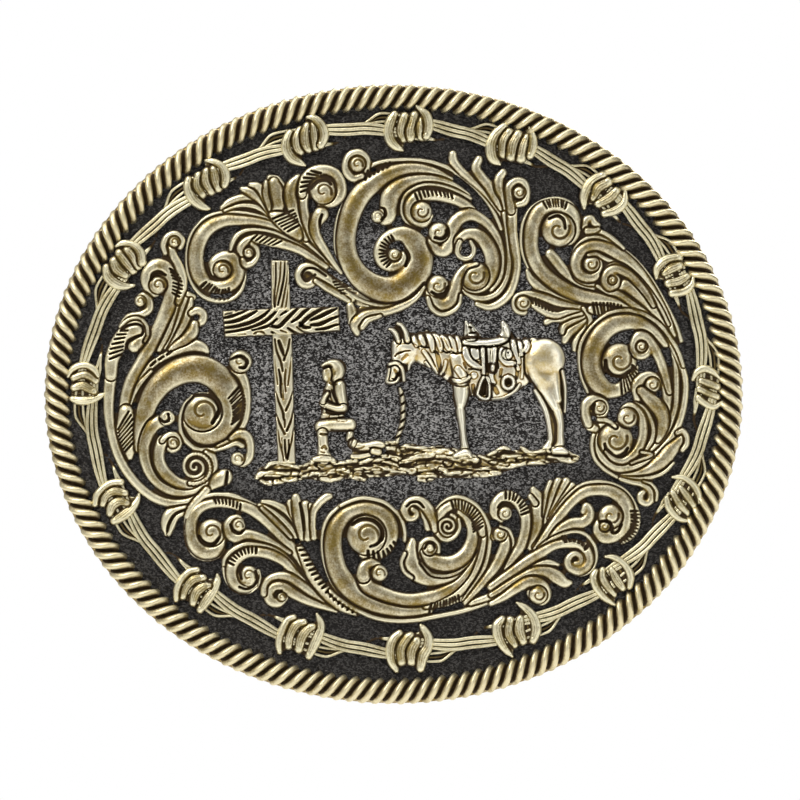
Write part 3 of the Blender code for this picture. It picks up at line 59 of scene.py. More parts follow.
# ------------------------------------------------------------ the design
# s a raised stroke, r a rim, b a boss: "u,v,half_width" points.  c a cut
# groove.  k a comb of cuts between two lines.  p a coil.
ART = {
    "scroll_left": """
s 133,400,3 140,380,3.5 152,366,3.5 166,357,3.5 180,350,5 193,346,6 203,348,5 208,352,2.5
s 128,412,2 133,398,2.5 141,384,2.5 152,372,2
s 187,296,3 184,306,3 179,320,3.5 172,335,3 165,348,2
s 187,294,2.5 191,296,2.5 194,298,3
s 192,300,2 190,310,3.5 185,325,4 178,338,3.5 170,350,2
s 178,303,3 174,318,3 168,335,3 160,350,2.5
s 192,314,3 198,311,4 204,315,4 203,322,4 197,325,3
s 195,325,4 193,333,6 186,340,5 178,345,3.5 171,350,2
s 112,375,6 110,395,5.5 110,415,5 113,435,4.5 119,455,4.5 129,473,4.5 142,488,4.5 158,499,4.5 176,503,4 192,500,3.5 204,492,3 210,484,2.5
s 124,420,4 126,400,5 132,380,5.5 142,362,5.5 152,345,6 160,328,6.5 167,312,7 172,297,7 173,284,7.5 168,271,7.5 157,267,7.5 148,275,6 149,286,6 156,293,5
b 159,286,7
c 152,280,1.2 154,275,1.6 160,273,1.6 166,276,1.2
s 172,248,3 174,256,4 179,266,4.5 183,277,4.5 184,287,4 181,297,3.5 179,303,3
s 166,254,2.5 164,246,3 168,238,3.5 176,235,3.5 183,241,3 181,248,3
b 175,243,4.5
k 8 1.0 170,268 172,274 174,281 174,288 173,296 | 175,272 180,278 183,285 182,292 179,300
s 139,300,3.5 144,296,3 150,301,3.5 150,310,4 142,315,3.5 130,317,3 122,325,2
b 141,302,4.5
s 112,375,6 113,360,7 119,345,8 127,334,8 137,329,9 143,333,6.5 140,342,6 135,347,6
r 121,327,2 130,320,2.2 140,319,2.2 147,325,2.2 149,335,2.2 146,342,2
c 122,331,1 130,326,1.3 139,325,1.3 144,329,1.3 143,335,1.3 136,338,1.3 129,342,1.3 127,349,1
k 7 1.0 111,362 111,352 114,343 119,334 124,330 | 123,356 124,347 125,340 127,334 130,329
s 127,412,7 127,430,9 130,445,7 131,457,3
k 8 1.1 119,428 120,438 123,446 126,454 | 129,410 134,420 136,430 137,442
s 140,448,4.5 143,425,7.5 150,402,9.5 163,383,11.5 183,371,13 203,370,13.5 220,380,13 230,397,12 230,415,11 219,430,11 203,433,11 192,422,9
b 203,412,15
c 193,396,1.3 206,395,2 216,400,2.2 220,410,2 213,423,1.4
r 193,396,1.8 185,405,2 181,418,2.2 182,432,2.5 188,442,3 198,449,3 212,450,3 226,447,3 236,443,3.5 243,446,3
s 236,370,5 243,378,5 247,390,4 248,405,3.5 246,420,3 240,431,2.5 230,440,2 218,446,1.5
k 10 1.1 229,398 233,406 234,416 232,426 | 240,386 244,396 245,406 243,417
b 241,362,9
c 231,360,1 240,357,1.6 247,362,1.6 245,368,1.6 240,368,1
s 232,438,3 240,434,4.5 248,437,4.5 251,446,4 250,457,4 244,463,4 238,461,5
b 238,459,5.5
s 165,420,6 155,425,6.5 148,436,6 145,450,5.5 148,466,5.5 157,480,5.5 172,490,5 190,491,4.5 205,483,4.5 214,470,4 214,458,3.5 207,453,3
b 168,418,6
c 161,419,1 165,422,1.4 170,420,1.4 169,414,1
c 166,433,1 157,442,1.2 153,455,1.2 155,468,1.2 163,480,1.2 177,488,1
s 172,437,5 164,441,5.5 160,452,5.5 161,464,6 168,475,6 180,483,5 193,484,4 203,478,3.5
s 163,441,2.5 167,436,2.5 173,434,2.5 179,438,2.5 180,446,2.5 174,451,2.5 170,449,2.5
b 174,443,4.5
p 196,467 17 2.3 4 1
s 212,487,3 219,480,7 225,477,8
c 228,472,1.4 227,480,1.6 226,487,1.4
s 190,507,3 178,510,4 170,515,6 167,525,5 168,533,3
s 190,510,2 178,516,3 173,526,3 170,534,2
c 187,509,1 176,514,1.3 170,523,1.3 168,531,1
s 207,490,4 200,498,4 192,507,3.5 188,516,3
c 152,366,1.3 156,362,1.3
c 160,360,1.3 164,357,1.3
c 168,355,1.3 172,352,1.3
""",
    "scroll_upper_left": """
g 306,270,6 320,277,7 336,287,7.5 352,297,7.5 366,304,5.5
r 335,270,2 320,256,2.2 305,243,2.2 290,232,2.2 275,223,2.2 258,217,2.2 240,214,2.4 222,214,2.4 208,218,2.4 198,227,2.4 191,238,2.4 188,252,2.4 188,268,2.4 191,280,2.4 197,291,2.4 207,299,2.6 220,302,2.8 232,300,2.6 241,292,2.4 245,281,2.2 245,270,2
s 300,245,2 285,233,2.5 270,226,3.5 255,222.5,4 240,221.5,5 225,222,6 212,227,7 203,236,7.5 197.5,250,7.5 197,265,7.5 201,278,7.5 209,286,6 222,288,6.5 234,283,6.5 239,272,6 235,261,6 224,258,6 215,264,5.5 216,272,5
b 223,271,7
k 9 1.3 199,288 203,292 207,295 213,298 219,300 226,300 231,298 | 206,283 210,285 214,287 217,289 220,291 226,291 231,289
r 322,262,1.5 305,250,2 290,241,2 275,234,2 260,231,2 247,231.5,2.5 238,236,3 233,244,3 231,251,2
s 326,268,2.5 312,259,3.5 298,251,4 284,246,4.5 270,243,4.5 258,240,4.5 247,242,4 241,249,4 243,257,3
s 252,245,2 257,250,2.5 258,257,2.5 253,264,3 246,266,3.5 243,261,2.5
b 249,254,4
k 6 0.9 250,241 256,242 262,244 269,246 275,247 | 256,236 263,237 270,239 277,241 284,243
s 222,209,2 230,203,3.5 242,199,3.5 255,199,3 264,204,2.5 271,213,2
s 225,212,1.5 240,207,2 255,208,2.5 266,214,2 272,219,1.5
s 242,190,2 250,193,4.5 258,199,4 265,207,3 270,215,2
s 251,186,2.5 258,188,4 264,196,4 268,206,3 271,214,2
s 267,184,3 266,195,3 269,206,3 272,215,2
s 270,179,3 278,181,3 285,190,2.5
s 274,184,5 278,196,7 279,206,6 275,215,3.5
s 298,179,3.5 292,186,5 290,197,6 293,208,6 297,220,5 301,232,4 306,240,3
s 272,216,3 280,220,7 288,226,8 294,232,7 299,238,4
k 6 1.2 272,219 276,223 280,226 284,230 290,234 | 293,211 295,215 297,219 298,223 300,228
s 304,197,4.5 304,210,4.5 307,224,4.5 313,238,4 322,250,3.5 332,263,2.5 340,273,2
s 302,196,4 304,183,5 312,174,5.5 324,171,5 335,175,5 341,185,5 340,196,6 332,203,6 322,202,6
b 323,193,10
c 311,190,1.2 318,183,1.8 327,182,1.8 331,186,1.2
k 6 1.1 301,196 301,188 303,181 308,175 314,171 | 312,190 313,184 315,181 318,177 322,174
s 321,216,7.5 316,224,6 315,232,5 318,240,4.5 324,250,4 332,262,3 341,274,2
c 322,216,1.2 320,222,1.4 320,229,1
s 352,300,3 340,290,4 330,283,4.5 320,276,4.5 311,269,4.5 303,269,4.5 299,276,4.5 302,284,4.5 309,286,4 315,282,3.5
c 326,277,1 315,270,1.2 306,270,1.2 302,276,1.2 306,282,1.2 311,279,1.2 315,276,1
s 316,282,2.5 325,288,3.5 335,294,3.5 348,302,2.5
k 6 1.2 333,278 334,284 338,290 343,296 | 344,276 348,282 353,288 357,296
""",
    "scroll_upper_right": """
g 418,296,2 400,303,4.5 382,308,6 366,312,8 359,322,5.5 357,330,2
r 362,183,2 350,195,2.2 342,208,2.2 337,222,2.2 335,238,2.2 336,252,2.2 340,264,2
r 366,170,2.5 376,165,2.5 390,162,2.5 405,161.5,2.5 420,162,2.5 435,165,2.5 450,171,2.5 465,181,2.5 480,195,2.5 492,212,2.5 500,230,2.5
s 450,181,2.5 435,174,4 418,170,5 402,171,6 388,176,7.5 374,184,9 361,196,10 352,212,10 347,230,9.5 346,247,9.5 350,263,10 359,277,11 373,287,12 389,291,13 404,286,14 415,274,14 419,259,13 415,245,11 405,236,8 393,236,6.5 383,243,6 379,254,6 383,264,6 392,268,5 401,264,5 404,256,4
b 394,256,5
c 392,247,1.3 402,249,1.6 408,258,1.8 405,267,1.2
k 11 1.0 392,236 385,240 380,247 379,256 382,264 388,270 | 395,243 391,246 387,250 386,256 388,261 392,264
s 366,172,3 367,162,3.5 360,155,4 351,156,4 346,164,4 347,174,4.5 353,180,4 361,178,3.5
b 357,166,6.5
k 6 1.1 363,183 370,178 377,174 384,170 390,168 | 366,173 373,170 380,167 386,165 392,164
r 345,292,2 358,300,2.5 372,305,2.5 388,307,2.5 403,304,2.5 415,296,2.5 424,286,2
s 350,307,4 352,315,5 352,324,4
s 424,288,2 414,300,3 400,308,4 385,313,4 372,314,4 362,318,5 355,326,5 357,334,3
s 380,317,2 368,321,3 362,328,3
s 468,197,2 455,188,3 440,182,3.5 425,180,4 411,182,5 400,187,7 391,196,9 388,207,8.5 388,218,7 384,222,5
b 377,218,5
c 380,209,1 384,211,1.4 385,217,1.4 381,221,1
r 470,200,2 455,192,2 440,187,2 425,186,2 413,190,2 404,198,2.5 401,210,2.5 404,220,2.5 412,226,2.5 422,228,2.5
s 480,222,3 470,211,4.5 458,203,5 445,199,5 430,197,5 418,198,5.5 410,205,5.5 409,215,5 415,222,5 424,224,4.5 429,217,3.5
b 421,213,8
k 10 1.0 413,196 422,191 432,190 442,191 452,194 | 416,203 424,199 434,197 444,198 454,201
s 452,156,4 453,163,4.5 460,172,4 470,181,3.5 482,192,3 492,204,2.5 502,218,2
s 478,161,4 475,169,4.5 480,178,5 488,188,5 494,199,4 500,210,2.5
s 502,174,4 498,180,4.5 498,190,4.5 502,200,3 504,210,2
s 503,215,2.5 506,230,3 508,248,3 508,265,3 505,280,3 497,293,3 485,299,3 473,298,3 463,290,2.5 460,280,2
s 512,206,4.5 511,220,5 512,235,4.5 514,250,4.5 516,265,4 514,280,4 509,293,4 500,303,4 488,308,3.5 476,305,2.5
s 510,212,4 508,198,4 508,188,4 515,182,3.5 523,184,3.5 526,193,3.5 524,203,3.5 517,206,3
b 518,194,5
s 431,243,4.5 436,251,5 444,252,6 449,243,6.5 451,230,7 458,220,6.5 469,216,6 480,220,5 489,228,4.5 496,239,4 500,252,3.5 501,266,3 498,280,3 490,290,3
b 438,234,8
c 434,239,1.2 441,240,1.6 446,236,1.6 447,230,1.2
s 457,250,3.5 458,241,4.5 466,235,5 476,236,6 485,244,7 491,257,7.5 491,271,7 486,283,6 477,290,4.5 467,288,4 461,279,3.5
s 470,243,2 473,250,2.5 471,257,2.5 465,260,2.5 458,257,2.5 456,250,2.5 459,243,2.5
b 474,277,11
s 476,265,2 465,268,3 458,277,4.5 454,290,6 450,301,6 441,306,6 432,301,5 429,293,4
b 437,287,8.5
c 431,293,1.2 437,296,1.6 444,294,1.6 447,288,1.2
r 460,296,2 458,306,2.5 450,313,3 440,315,3 431,309,3 427,299,2.5
""",
    "scroll_right": """
g 592,305,6 577,315,8 564,327,7 567,338,5
g 545,322,3 556,318,5 575,312,7
g 536,299,3.5 550,305,4.5 565,310,5 580,312,5
r 590,303,2 565,299,2.2 548,290,2.2 535,279,2.2 526,266,2.2 521,252,2.2 520,238,2.2 522,224,2.2 528,212,2.2 538,204,2.4 550,200.5,2.6 562,201,2.6 572,207,2.4 578,216,2.2
s 526,272,2 530,280,4 538,287,5 548,293,4.5 560,298,3.5 575,302,2.5 590,304,1.5
s 660,335,3 648,322,4 632,311,4.5 615,304,5 597,300,6 578,296,6.5 560,288,7 546,278,7 536,266,7 531,253,7 530,240,7 532,226,7.5 538,213,7 549,207,6 560,208,6 569,214,7 572,225,8 568,236,9 558,240,8
b 557,231,13
c 548,220,1 556,217,1.5 562,221,1.6 564,230,1.1
k 9 1.0 541,203 547,201 553,200 560,201 567,204 | 545,210 550,208 555,208 560,208 565,211
s 549,255,5 555,262,5.5 562,271,5 570,279,4 580,285,3 592,289,2
s 573,350,2.5 575,343,4 580,334,4 585,325,3 588,318,2
s 563,342,3 567,334,4.5 574,328,4.5 581,322,3.5 586,317,2
s 561,333,2.5 563,327,3 570,322,3.5 579,318,3 586,314,2
s 545,323,3 552,320,3 560,320,3 570,316,3 580,314,2.5
s 530,304,3 538,309,4 547,314,4 556,316,3.5 566,313,3 578,309.5,2.5
s 582,308,2 568,306,3 555,303,4 545,299,4 535,296,3.5 525,294.5,3 516,297,3 513,304,3 516,311,3.5 523,313,3.5
b 522,304,6
k 7 1.0 529,299 535,300 541,303 547,306 553,308 | 531,304 536,306 542,309 548,311 553,312
s 582,309,2 587,315,2.5 589,322,2.5 587,331,2.5 582,338,2.5
s 590,310,4 600,311,5 610,311,4 620,311,2.5
k 9 1.2 590,304 598,304 606,304 614,305 622,307 | 594,320 600,318 607,315 614,312 621,311
s 645,333,2.5 652,345,3.5 659,360,4.5 664,376,5 666,392,5 665,408,4.5 660,423,4 654,436,3.5 645,448,3
s 670,345,2.5 674,360,3 675,377,3 675,392,3 674,407,3 670,420,3 664,432,3 656,443,3 647,452,2.5
s 637,292,2 646,305,3 656,320,3 665,335,3 673,350,3 680,365,3.2 684,380,3.2 684,395,3.2 681,412,3.5 676,427,3.5 668,441,4 658,452,4 647,460,4.5 634,466,4.5 621,468,4.5 609,465,4.5 600,457,4.5 595,446,4.5 595,434,4.5 600,426,3.5 609,423,3
b 614,440,13.5
c 603,444,1.2 606,452,1.8 614,457,1.8 622,454,1.6 626,448,1.2
r 571,270,2 571,258,2.2 576,247,2.4 584,240,2.4 594,238,2.4 605,241,2.4 615,246.5,2.4 625,253,2.4 635,262,2.6 646,275,2.6 656,290,2.6 665,306,2.6 674,324,2.6 680,341,2.6
r 571,270,2 575,279,2.4 584,284,2.4 595,286,2
s 672,335,3 664,315,3.5 652,294,4.5 640,277,5.5 628,264,6 615,254,6 602,248,5.5 590,247,5.5 580,252,5.5 575,262,5.5 576,272,5.5 583,278,5 592,278,4.5 597,271,4.5 596,262,4 589,257,3.5
b 590,265,6.5
s 622,267,1.8 612,263,2.2 603,259,2.4 595,255,2.4 587,256,2
s 666,335,2.5 660,322,3 652,310,4.5 643,300,6 634,291,7 625,286,6 618,287,4
s 596,287,2 606,292,3 617,295,3.5 628,302,3.5 640,311,3.5 650,321,3 660,332,2.5
r 601,275,1.8 605,269,2 612.5,265,2.2 622.5,267.5,2.2 632.5,275,2.2 640,282.5,2.2 650,295,2.2 659,309,2.2 667,325,2
s 652,306,2.5 645,294,3.5 634,281,4 624,273,4.5 614,270,4.5 606,274,4.5 604,282,4.5 608,288,4 614,286,3.5 616,280,3 611,276,2.5
b 611,281,3.5
s 588,233,3 597,232,2.5 606,236,2.5 614,242,2.5 622,249,2
s 583,228,3 585,221,3.5 590,219,3 593,224,3.5 597,226,2.5
s 586,232,3.5 592,232,3 597,230,2
r 586,392,2 580,376,2.4 578,360,2.6 579,346,2.6 585,334,2.6 594,324,2.6 604,316,2.6 612.5,312.5,2.6 622.5,311,2.6 635,312.5,2.6 647,317,2.6 658,325,2.6 668,337,2.6 677,352,2.6 682,366,2.4
s 664,345,3 656,336,4.5 645,328,6 634,323,7 621,323,8 609,327,9 599,336,9.5 592,350,9.5 590,365,9.5 594,379,9.5 603,389,8.5 613,391,7 622,387,6.5 629,378,6 632,368,5
b 618,361,13.5
c 604,361,1.5 605,370,2 611,376,2 620,377,2 628,371,1.5
k 8 1.1 619,395 624,392 629,388 633,382 636,375 636,368 | 619,381 622,379 625,376 628,372 630,368 631,364
s 668,392,3 664,377,4 659,362,4.5 653,349,5 646,339,5 638,336,5 633,342,4 632,350,4 636,356,3.5 643,356,3.5 648,350,3 646,344,2.5
b 640,347,4.5
s 636,398,4 635,386,5 640,379,5 648,376,4.5 655,379,3.5 656,386,3.5 652,391,3
b 651,385,6
s 640,391,4.5 646,397,6 653,404,7 659,411,7 662,421,6 660,432,4.5 656,440,3
s 634,404,2 643,409,2.5 649,419,2.5 652,430,2.5 650,441,2.5 645,449,2
s 622,411,4 627,407,4.5 634,409,4 640,416,4 642,427,4.5 641,438,4.5 637,448,4.5 630,456,4 621,461,3.5 612,459,3 605,452,2.5
b 626,418,8
r 640,452,2 650,455,2 630,463,2
r 619,479,2 604,470,2.4 595,461,2.4 591,451,2.4 590.6,440,2.4 594,430,2
s 684,434,3 676,443,5 668,452,7 660,461,7 648,469,5 635,474,3.5 620,476,2
s 676,433,2.5 681,431,3 685,436,3 685,444,3 681,450,2.5
r 672,463,2 664,471,2.5 654,476,2.5 642,478,2.5 630,478,2 619,477,1.5
s 619,479,2 630,482,2.5 640,484,3 648,489,3.5 650,497,4 646,503,3.5 640,501,3.5 639,495,3.5 642,492,2.5
r 642,481,1.5 650,484,2 655,491,2.5 655,500,2
s 584,408,4 584,418,4.5 588,426,4.5 594,429,3.5
s 587,424,4 584,413,4.5 585,404,5 591,400,5 598,401,5 603,406,4.5 602,413,4 597,416,3 592,411,2.5
b 598,408,5.5
c 593,405,1 592,413,1.3 597,419,1.3 607,421,1
s 597,420,2 606,421,2.5 614,427,2
""",
    "scroll_bottom": """
r 186,530,2 187,518,2.2 190,509,2.2 197,502,2.4 207,496,2.6 219,494,2.6 232,495,2.8 244,500,2.8 257,507,3 269,516,3 280,527,3 290,540,3 300,554,3
r 186,530,2 188,543,2.2 194,553,2.6 204,558,2.8 215,557,2.8 222,551,2.6 225,542,2.2 225,533,2
s 338,607,2 326,594,3.5 315,580,4 305,565,4 295,551,4.5 284,538,5 272,525,5.5 259,514,5.5 246,507,5 232,504,4.5 218,503,4.5 206,505,5 197,511,5.5 192.5,521,5.5 192.5,533,6 196,544,7 204,551,7 214,550,7 220,542,5.5 221,533,4
b 212,532,10.5
c 200,536,1.2 203,541,1.7 209,544,1.8 215,543,1.7 220,537,1.2
k 8 1.1 213,497 219,497 226,498 232,500 238,502 243,505 | 216,503 222,503 228,504 233,506 238,508 242,510
s 290,552,2 278,545,3 266,539,4 254,534.5,4.5 244,534,5 236,537,5 230,534,4.5 228,527,4.5 231,520,4 237,517.5,3.5 242,521,3
b 239,525,5.5
c 231,524,1 234,530,1.3 240,533,1.3 244,530,1
r 224,568,2 225,559,2.4 230,552,2.6 237,547,2.8 246,543.5,2.8 257,544,2.8 269,546.5,2.8 280,552,2.8 290,561,2.6 299,573,2.4 306,581,2
r 224,568,2 227,579,2.4 233,587,2.4 241,591,2.6 250,590.5,2.6 257,585,2.4 260,577,2.2 259,570,2
s 304,580,2 294,571,3.5 284,561,4.5 273,555,5 262,552,5 250,552,5 241,556,5 234,563,5.5 232,573,5.5 236,582,6 245,586,6 253,582,5
b 249,575,8
c 242,578,1 241,570,1.4 245,564,1.4 251,563,1
c 256,570,1 258,578,1.3 254,585,1.3 247,588,1.3 240,586,1
k 9 1.1 228,563 231,556 237,551 244,547 251,546 259,547 | 234,566 236,560 240,556 246,553 252,552 259,553
s 336,610,2 322,605,3.5 308,600,4.5 296,594,5 285,587,5.5 275,586,5 269,592,5 271,600,5 279,602,4.5 284,597,4
b 282,596,3.5
c 276,595,1 277,591,1.3 282,590,1
s 324,600,2 312,592,4 301,584,4.5 290,577,4.5 279,575,4 270,578,3.5 265,585,3 264,593,3
s 260,505,2 269,509,2.5 280,517,3 290,527,3 296,536,2.5
s 263,501,2 273,503,3 283,508,3.5 290,514,3 295,521,2.5
s 262,508,2 271,516,2.5 282,527,2.5 291,537,2
s 290,502,3 292,511,3 295,519,2
s 296,497,4 298,508,5.5 300,522,5.5 303,536,4.5
s 306,505,5 308,516,5.5 309,528,4.5 308,538,3.5
s 311,505,2.5 312,512,2.5 313,520,2.5
s 330,496,3 326,497,4 319,503,4 314,511,3.5 313,523,3 314,537,3
c 300,503,1 303,516,1.4 304,530,1
s 300,547,3.5 306,560,5 312,573,6 320,585,6 331,596,6.5 343,605,6 356,611,4
k 18 1.3 297,543 302,554 308,566 315,578 324,589 334,599 346,608 360,615 | 317,541 318,549 320,558 323,568 329,579 337,589 348,598 362,606
r 330,516,2.4 337.5,507.5,2.6 350,501,2.6 361,498,2.6 372.5,499,2.6 384,502.5,2.6 392.5,509,2.6 400,517.5,2.6 404,530,2.6 404,540,2.2
r 340,593,2 333,583,2.4 327,569,2.6 323.5,555,2.6 322.5,541,2.6 324,527,2.6 329,516,2.6 337,508,2.4
r 330,590,2.4 338,597,2.8 350,605,2.8 361,611,2.8 372.5,616,2.8 386,619,2.8 401,620,2.8 416,619,2.8 430,616.5,2.8 443,614,2.8 460,610.5,2.8 475,606,2.8 490,600,2.8 508,592,2.4
s 470,602,3 485,597,3.5 500,590,3.5 512,584,2.5
s 430,608,3.5 416,610,4.5 400,610,5.5 384,607,6.5 370,602,7.5 357,594,9 346,583,10 338,570,9.5 334,555,9 333,540,8.5 336,527,8 344,516,7 354,510,6 366,508,6 378,512,7 387,520,8 390,532,8 386,544,8 377,551,8 366,551,8
b 366,535,15
c 352,524,1.2 361,519,1.8 372,520,1.8 380,527,1.8 382,536,1.8 377,543,1.4 370,546,1
k 7 1.3 366,557 374,560 382,560 390,558 397,553 402,547 | 366,550 373,551 380,551 386,549 391,544 395,540
s 471,596,2 458,597,4 445,601,4.5 432,604,4
s 484,530,4 483,545,4.5 478,560,5 470,575,5.5 460,587,6 448,596,5.5 436,602,4.5 425,605,3
s 478,530,2 475,545,3 470,560,4 463,574,4.5 452,585,5 440,592,5.5 425,597,6.5 410,599,6.5 395,597,6.5 380,592,7 367,585,7 363,575,7
s 363,575,7 364,566,5.5 371,562,4.5 377,565,4
b 379,572.5,6.5
k 10 1.2 427,612 434,611 441,609 448,607 455,604 461,601 | 430,603 437,602 443,600 449,598 454,596 459,594
s 412,540,3 411,549,6 411,560,9 416,571,9 427,578,7 440,579,5 452,576,3.5 462,568,2
r 404,553,2.5 401,562,2.5 404,571,2.5 411,577,2.5
r 421,557.5,2 426,565,2.2 435,569,2.2 445,570,2.2 455,567.5,2.2 462.5,562.5,2
r 421,562,2 430,572.5,2.2 440,575,2.2 450,574,2.2 460,569,2.2 467.5,561,2.2 474,550,2
s 422,556,4 421,546,4 425,541,4 431,540,4 436,545,3.5 437,551,3
s 459,512,3 466,518,4 471,528,5 471,540,6 465,553,7 455,561,7.5 443,563,7.5 431,560,7 425,552,5
b 429,548,5.5
c 424,548,1 427,543,1.3 432,543,1.3 434,547,1
r 435,528,2 434,515,2.4 439,506,2.6 446,500,2.8 455,497,2.8 465,499,2.8 475,505,2.8 482.5,515,2.8 487.5,526,2.8 489,537,2.8 487.5,551,2.8 484,565,2.8 477.5,578,2.6 469,590,2.4 463,599,2
s 437,524,4 440,513,4.5 448,506,4.5 457,504,4.5 466,508,5 474,515,5 479,524,4.5 481,533,3.5
k 14 1.1 449,501 455,500 461,501 467,503 473,507 478,513 481,520 482,528 | 452,508 457,508 461,509 465,512 469,516 471,521 472,527 473,533
p 447,526 12 2.2 3.6 -1
r 435,524,2 436,532,2.4 441,538,2.6 448,539.5,2.6 455,535,2.4 459,527,2.2 458,519,2
s 427,528,3 425,519,3 421,511,2.5
s 434,530,2.5 432,520,4 428,510,5.5 422,503,5.5 414,500,4.5 407,503,4 404,510,4 407,517,3.5 413,518,3 416,513,3 412,509,2.5
c 406,506,1 411,502,1.3 418,502,1.3 423,507,1
s 464,602,2 473,592,3 484,579,4 494,566,5 501,553,5.5 505,541,5.5 503,533,5 497,531,4.5 494,536,4
b 499,534,5.5
r 499,526,1.5 508,530,2.2 512,541,2.2 512,552,2.2 508,561,2
s 505,568,2.5 512,557,4 519,546,5 524,533,5.5 525,519,5.5 520,506,5.5 511,497,5.5 502,497,6 495,504,5.5 494,513,5 500,518,4
b 504,513,5.5
c 497,507,1 501,503,1.3 507,503,1.3 511,508,1
k 9 1.2 503,491 509,491 515,492 521,496 526,501 529,507 530,513 | 504,498 509,499 513,500 517,503 519,507 520,511 520,516
s 532,489,3 536,498,6 537,511,6 536,524,5 533,536,4 529,547,3
s 529,496,2.5 534,503,3
s 549,482,2.5 546,491,3 544,502,2.5 543,515,2
s 557,481,4 552,494,4 548,508,3 544,522,2
s 565,481,4 560,492,4 554,505,3 548,518,2
s 571,485,3 565,494,3 558,504,2.5 550,516,2
r 532.5,546,2 542.5,532.5,2.2 551,517.5,2.2 560,504,2.4 570,492.5,2.4 580,485,2.4 591,482,2.4 602.5,482,2.4 614,485,2.4 624,491,2.4 631,500,2.4 636,511,2.4 637,520,2.4 635,530,2.4 629,537.5,2.4 621,542.5,2
s 534,549,2.5 543,537,4 552,524,4.5 562,511,5 572,500,5 583,492,5.5 595,490,5.5 608,491,6 619,497,6.5 625,507,7 625,519,7 620,529,6.5 613,535,6.5 603,537,6 597,530,5.5 598,523,4.5 604,522,4
b 609,516,9.5
c 599,521,1 606,521,1.5 610,526,1.5 611,532,1.5 616,531,1.5 620,524,1.2
b 603,526,4
k 12 1.1 629,510 630,516 630,522 629,528 626,533 622,537 617,541 | 636,509 638,515 637,522 636,530 632,536 627,541 620,545
s 546,545,2 553,536,4.5 561,528,5.5 571,523,5.5 581,522,5.5 587,517,5.5 588,510,4.5 585,506,4 582,511,3
r 537.5,547.5,2 546,541,2.2 556,536,2.4 565,532.5,2.4 575,531,2.4 584,534,2.4 590,540,2.4 594,547.5,2.4 595,556,2.4 592.5,565,2.4 587.5,571,2.4 579,574,2.4 570,571,2.4 564,566,2.2 564,559,2
s 490,586,4 508,573,4.5 525,561,5 540,552,5 553,545,4.5 566,543,4.5 577,544,4.5 585,550,4.5 588,559,4.5 584,567,4.5 576,570,4.5 568,566,4 567,558,3.5 573,553,3 579,556,3 579,562,3 574,563,2.5
k 12 1.0 560,536 566,535 572,535 578,537 584,541 588,547 | 563,542 568,541 573,541 578,543 582,546 584,551
s 532,566,1.5 540,563,3 549,562,3 557,564,1.5
s 490,594,2.5 505,585,3.5 519,577,4 532,571,4.5 545,571,5.5 555,576,6.5 563,582,5 569,582,2.5
s 490,603,2.5 503,596,4 516,587,5 528,581,5.5 538,583,6 544,591,6 542,598,6 534,597,5.5 529,592,3.5
b 537,594,7
""",
    "ground_strip": """
g 264,473,7 285,474,8 305,472,7 325,470,11 345,470,9 365,469,9 385,465,12 405,462,13 430,463,15 455,464,14 475,466,12 495,464,10 515,459,9 530,457,7 548,456,7 565,457,6
s 386,443,1.8 396,442.5,1.8
s 386,448,1.8 396,449,2 404,451.5,2
s 398,450,2 406,446,2.4 416,447,2.4 426,449,2.4 436,448,2 441,447.5,2
s 266,468,1.5 271,463.5,2.2 280,463,2 290,465,2 300,467,2 308,464,2.2 316,460,2.6 324,457.5,3 331,459,3 336,463,2.2 346,462,2 356,461,2.2
s 257,477,2.5 262,474,3 272,473.5,3.2 285,474.5,3.4 296,474,3.4
s 262,481,2 268,483,2.4 276,482,3 286,480,3 296,479,2.4
s 300,479,1.5 308,475,2.2 316,473,2.2 322,475,2.4 330,472,2 340,469,2.6 348,471,2.4
s 322,479,2.4 330,480,2.6 338,478.5,2.6 342,476,2
s 356,470,2.4 366,469.5,2.8 380,469,3 395,469.5,3 410,471,3 420,468,3.4 432,467,3.4 442,467,2.6
s 350,476,1.6 356,478,2.2 364,479.5,2
s 360,463,2 368,460.5,2.4 380,460,2.4 390,462,2.4 398,465,2
s 382,456,2 390,457,2.4 398,460,2.8 406,462,2.4
s 400,463,2 410,459,3 420,455,4 432,454,5 444,453,5.5 456,455,6 466,458,5.5 476,459.5,3.5
s 418,476,2 426,475,3 434,476,2.4 428,480,2 418,480,1.6
s 440,470,3 450,473,3 462,472,3 472,470,2.6 484,469.5,2.4 496,468,2.4 506,466,3 516,464,3.2 524,463,2.6
s 475,475,2.8 486,474,3 498,472.5,2.8
s 478,456,1.4 484,458,1.8 490,461,1.8 500,463,1.8 506,464,1.8
s 487,455,1.4 494,452,2 502,448,2.2 508,449,1.6
s 502,457,2.2 512,457,2.6 520,457,2.2
s 505,460.5,1.6 514,460,1.6
s 520,447,1.6 525,451,2.4 531,454,2.4 537,452,2 545,450.5,2.4
s 528,463.5,2 538,462.5,2.6 548,461.5,2.2
s 548,450,3 556,451,4.5 564,453,3.5 571,456,2.8 576,458,2.6
s 548,457,2.4 558,459,3 568,460.5,3 575,459.5,2.4
""",
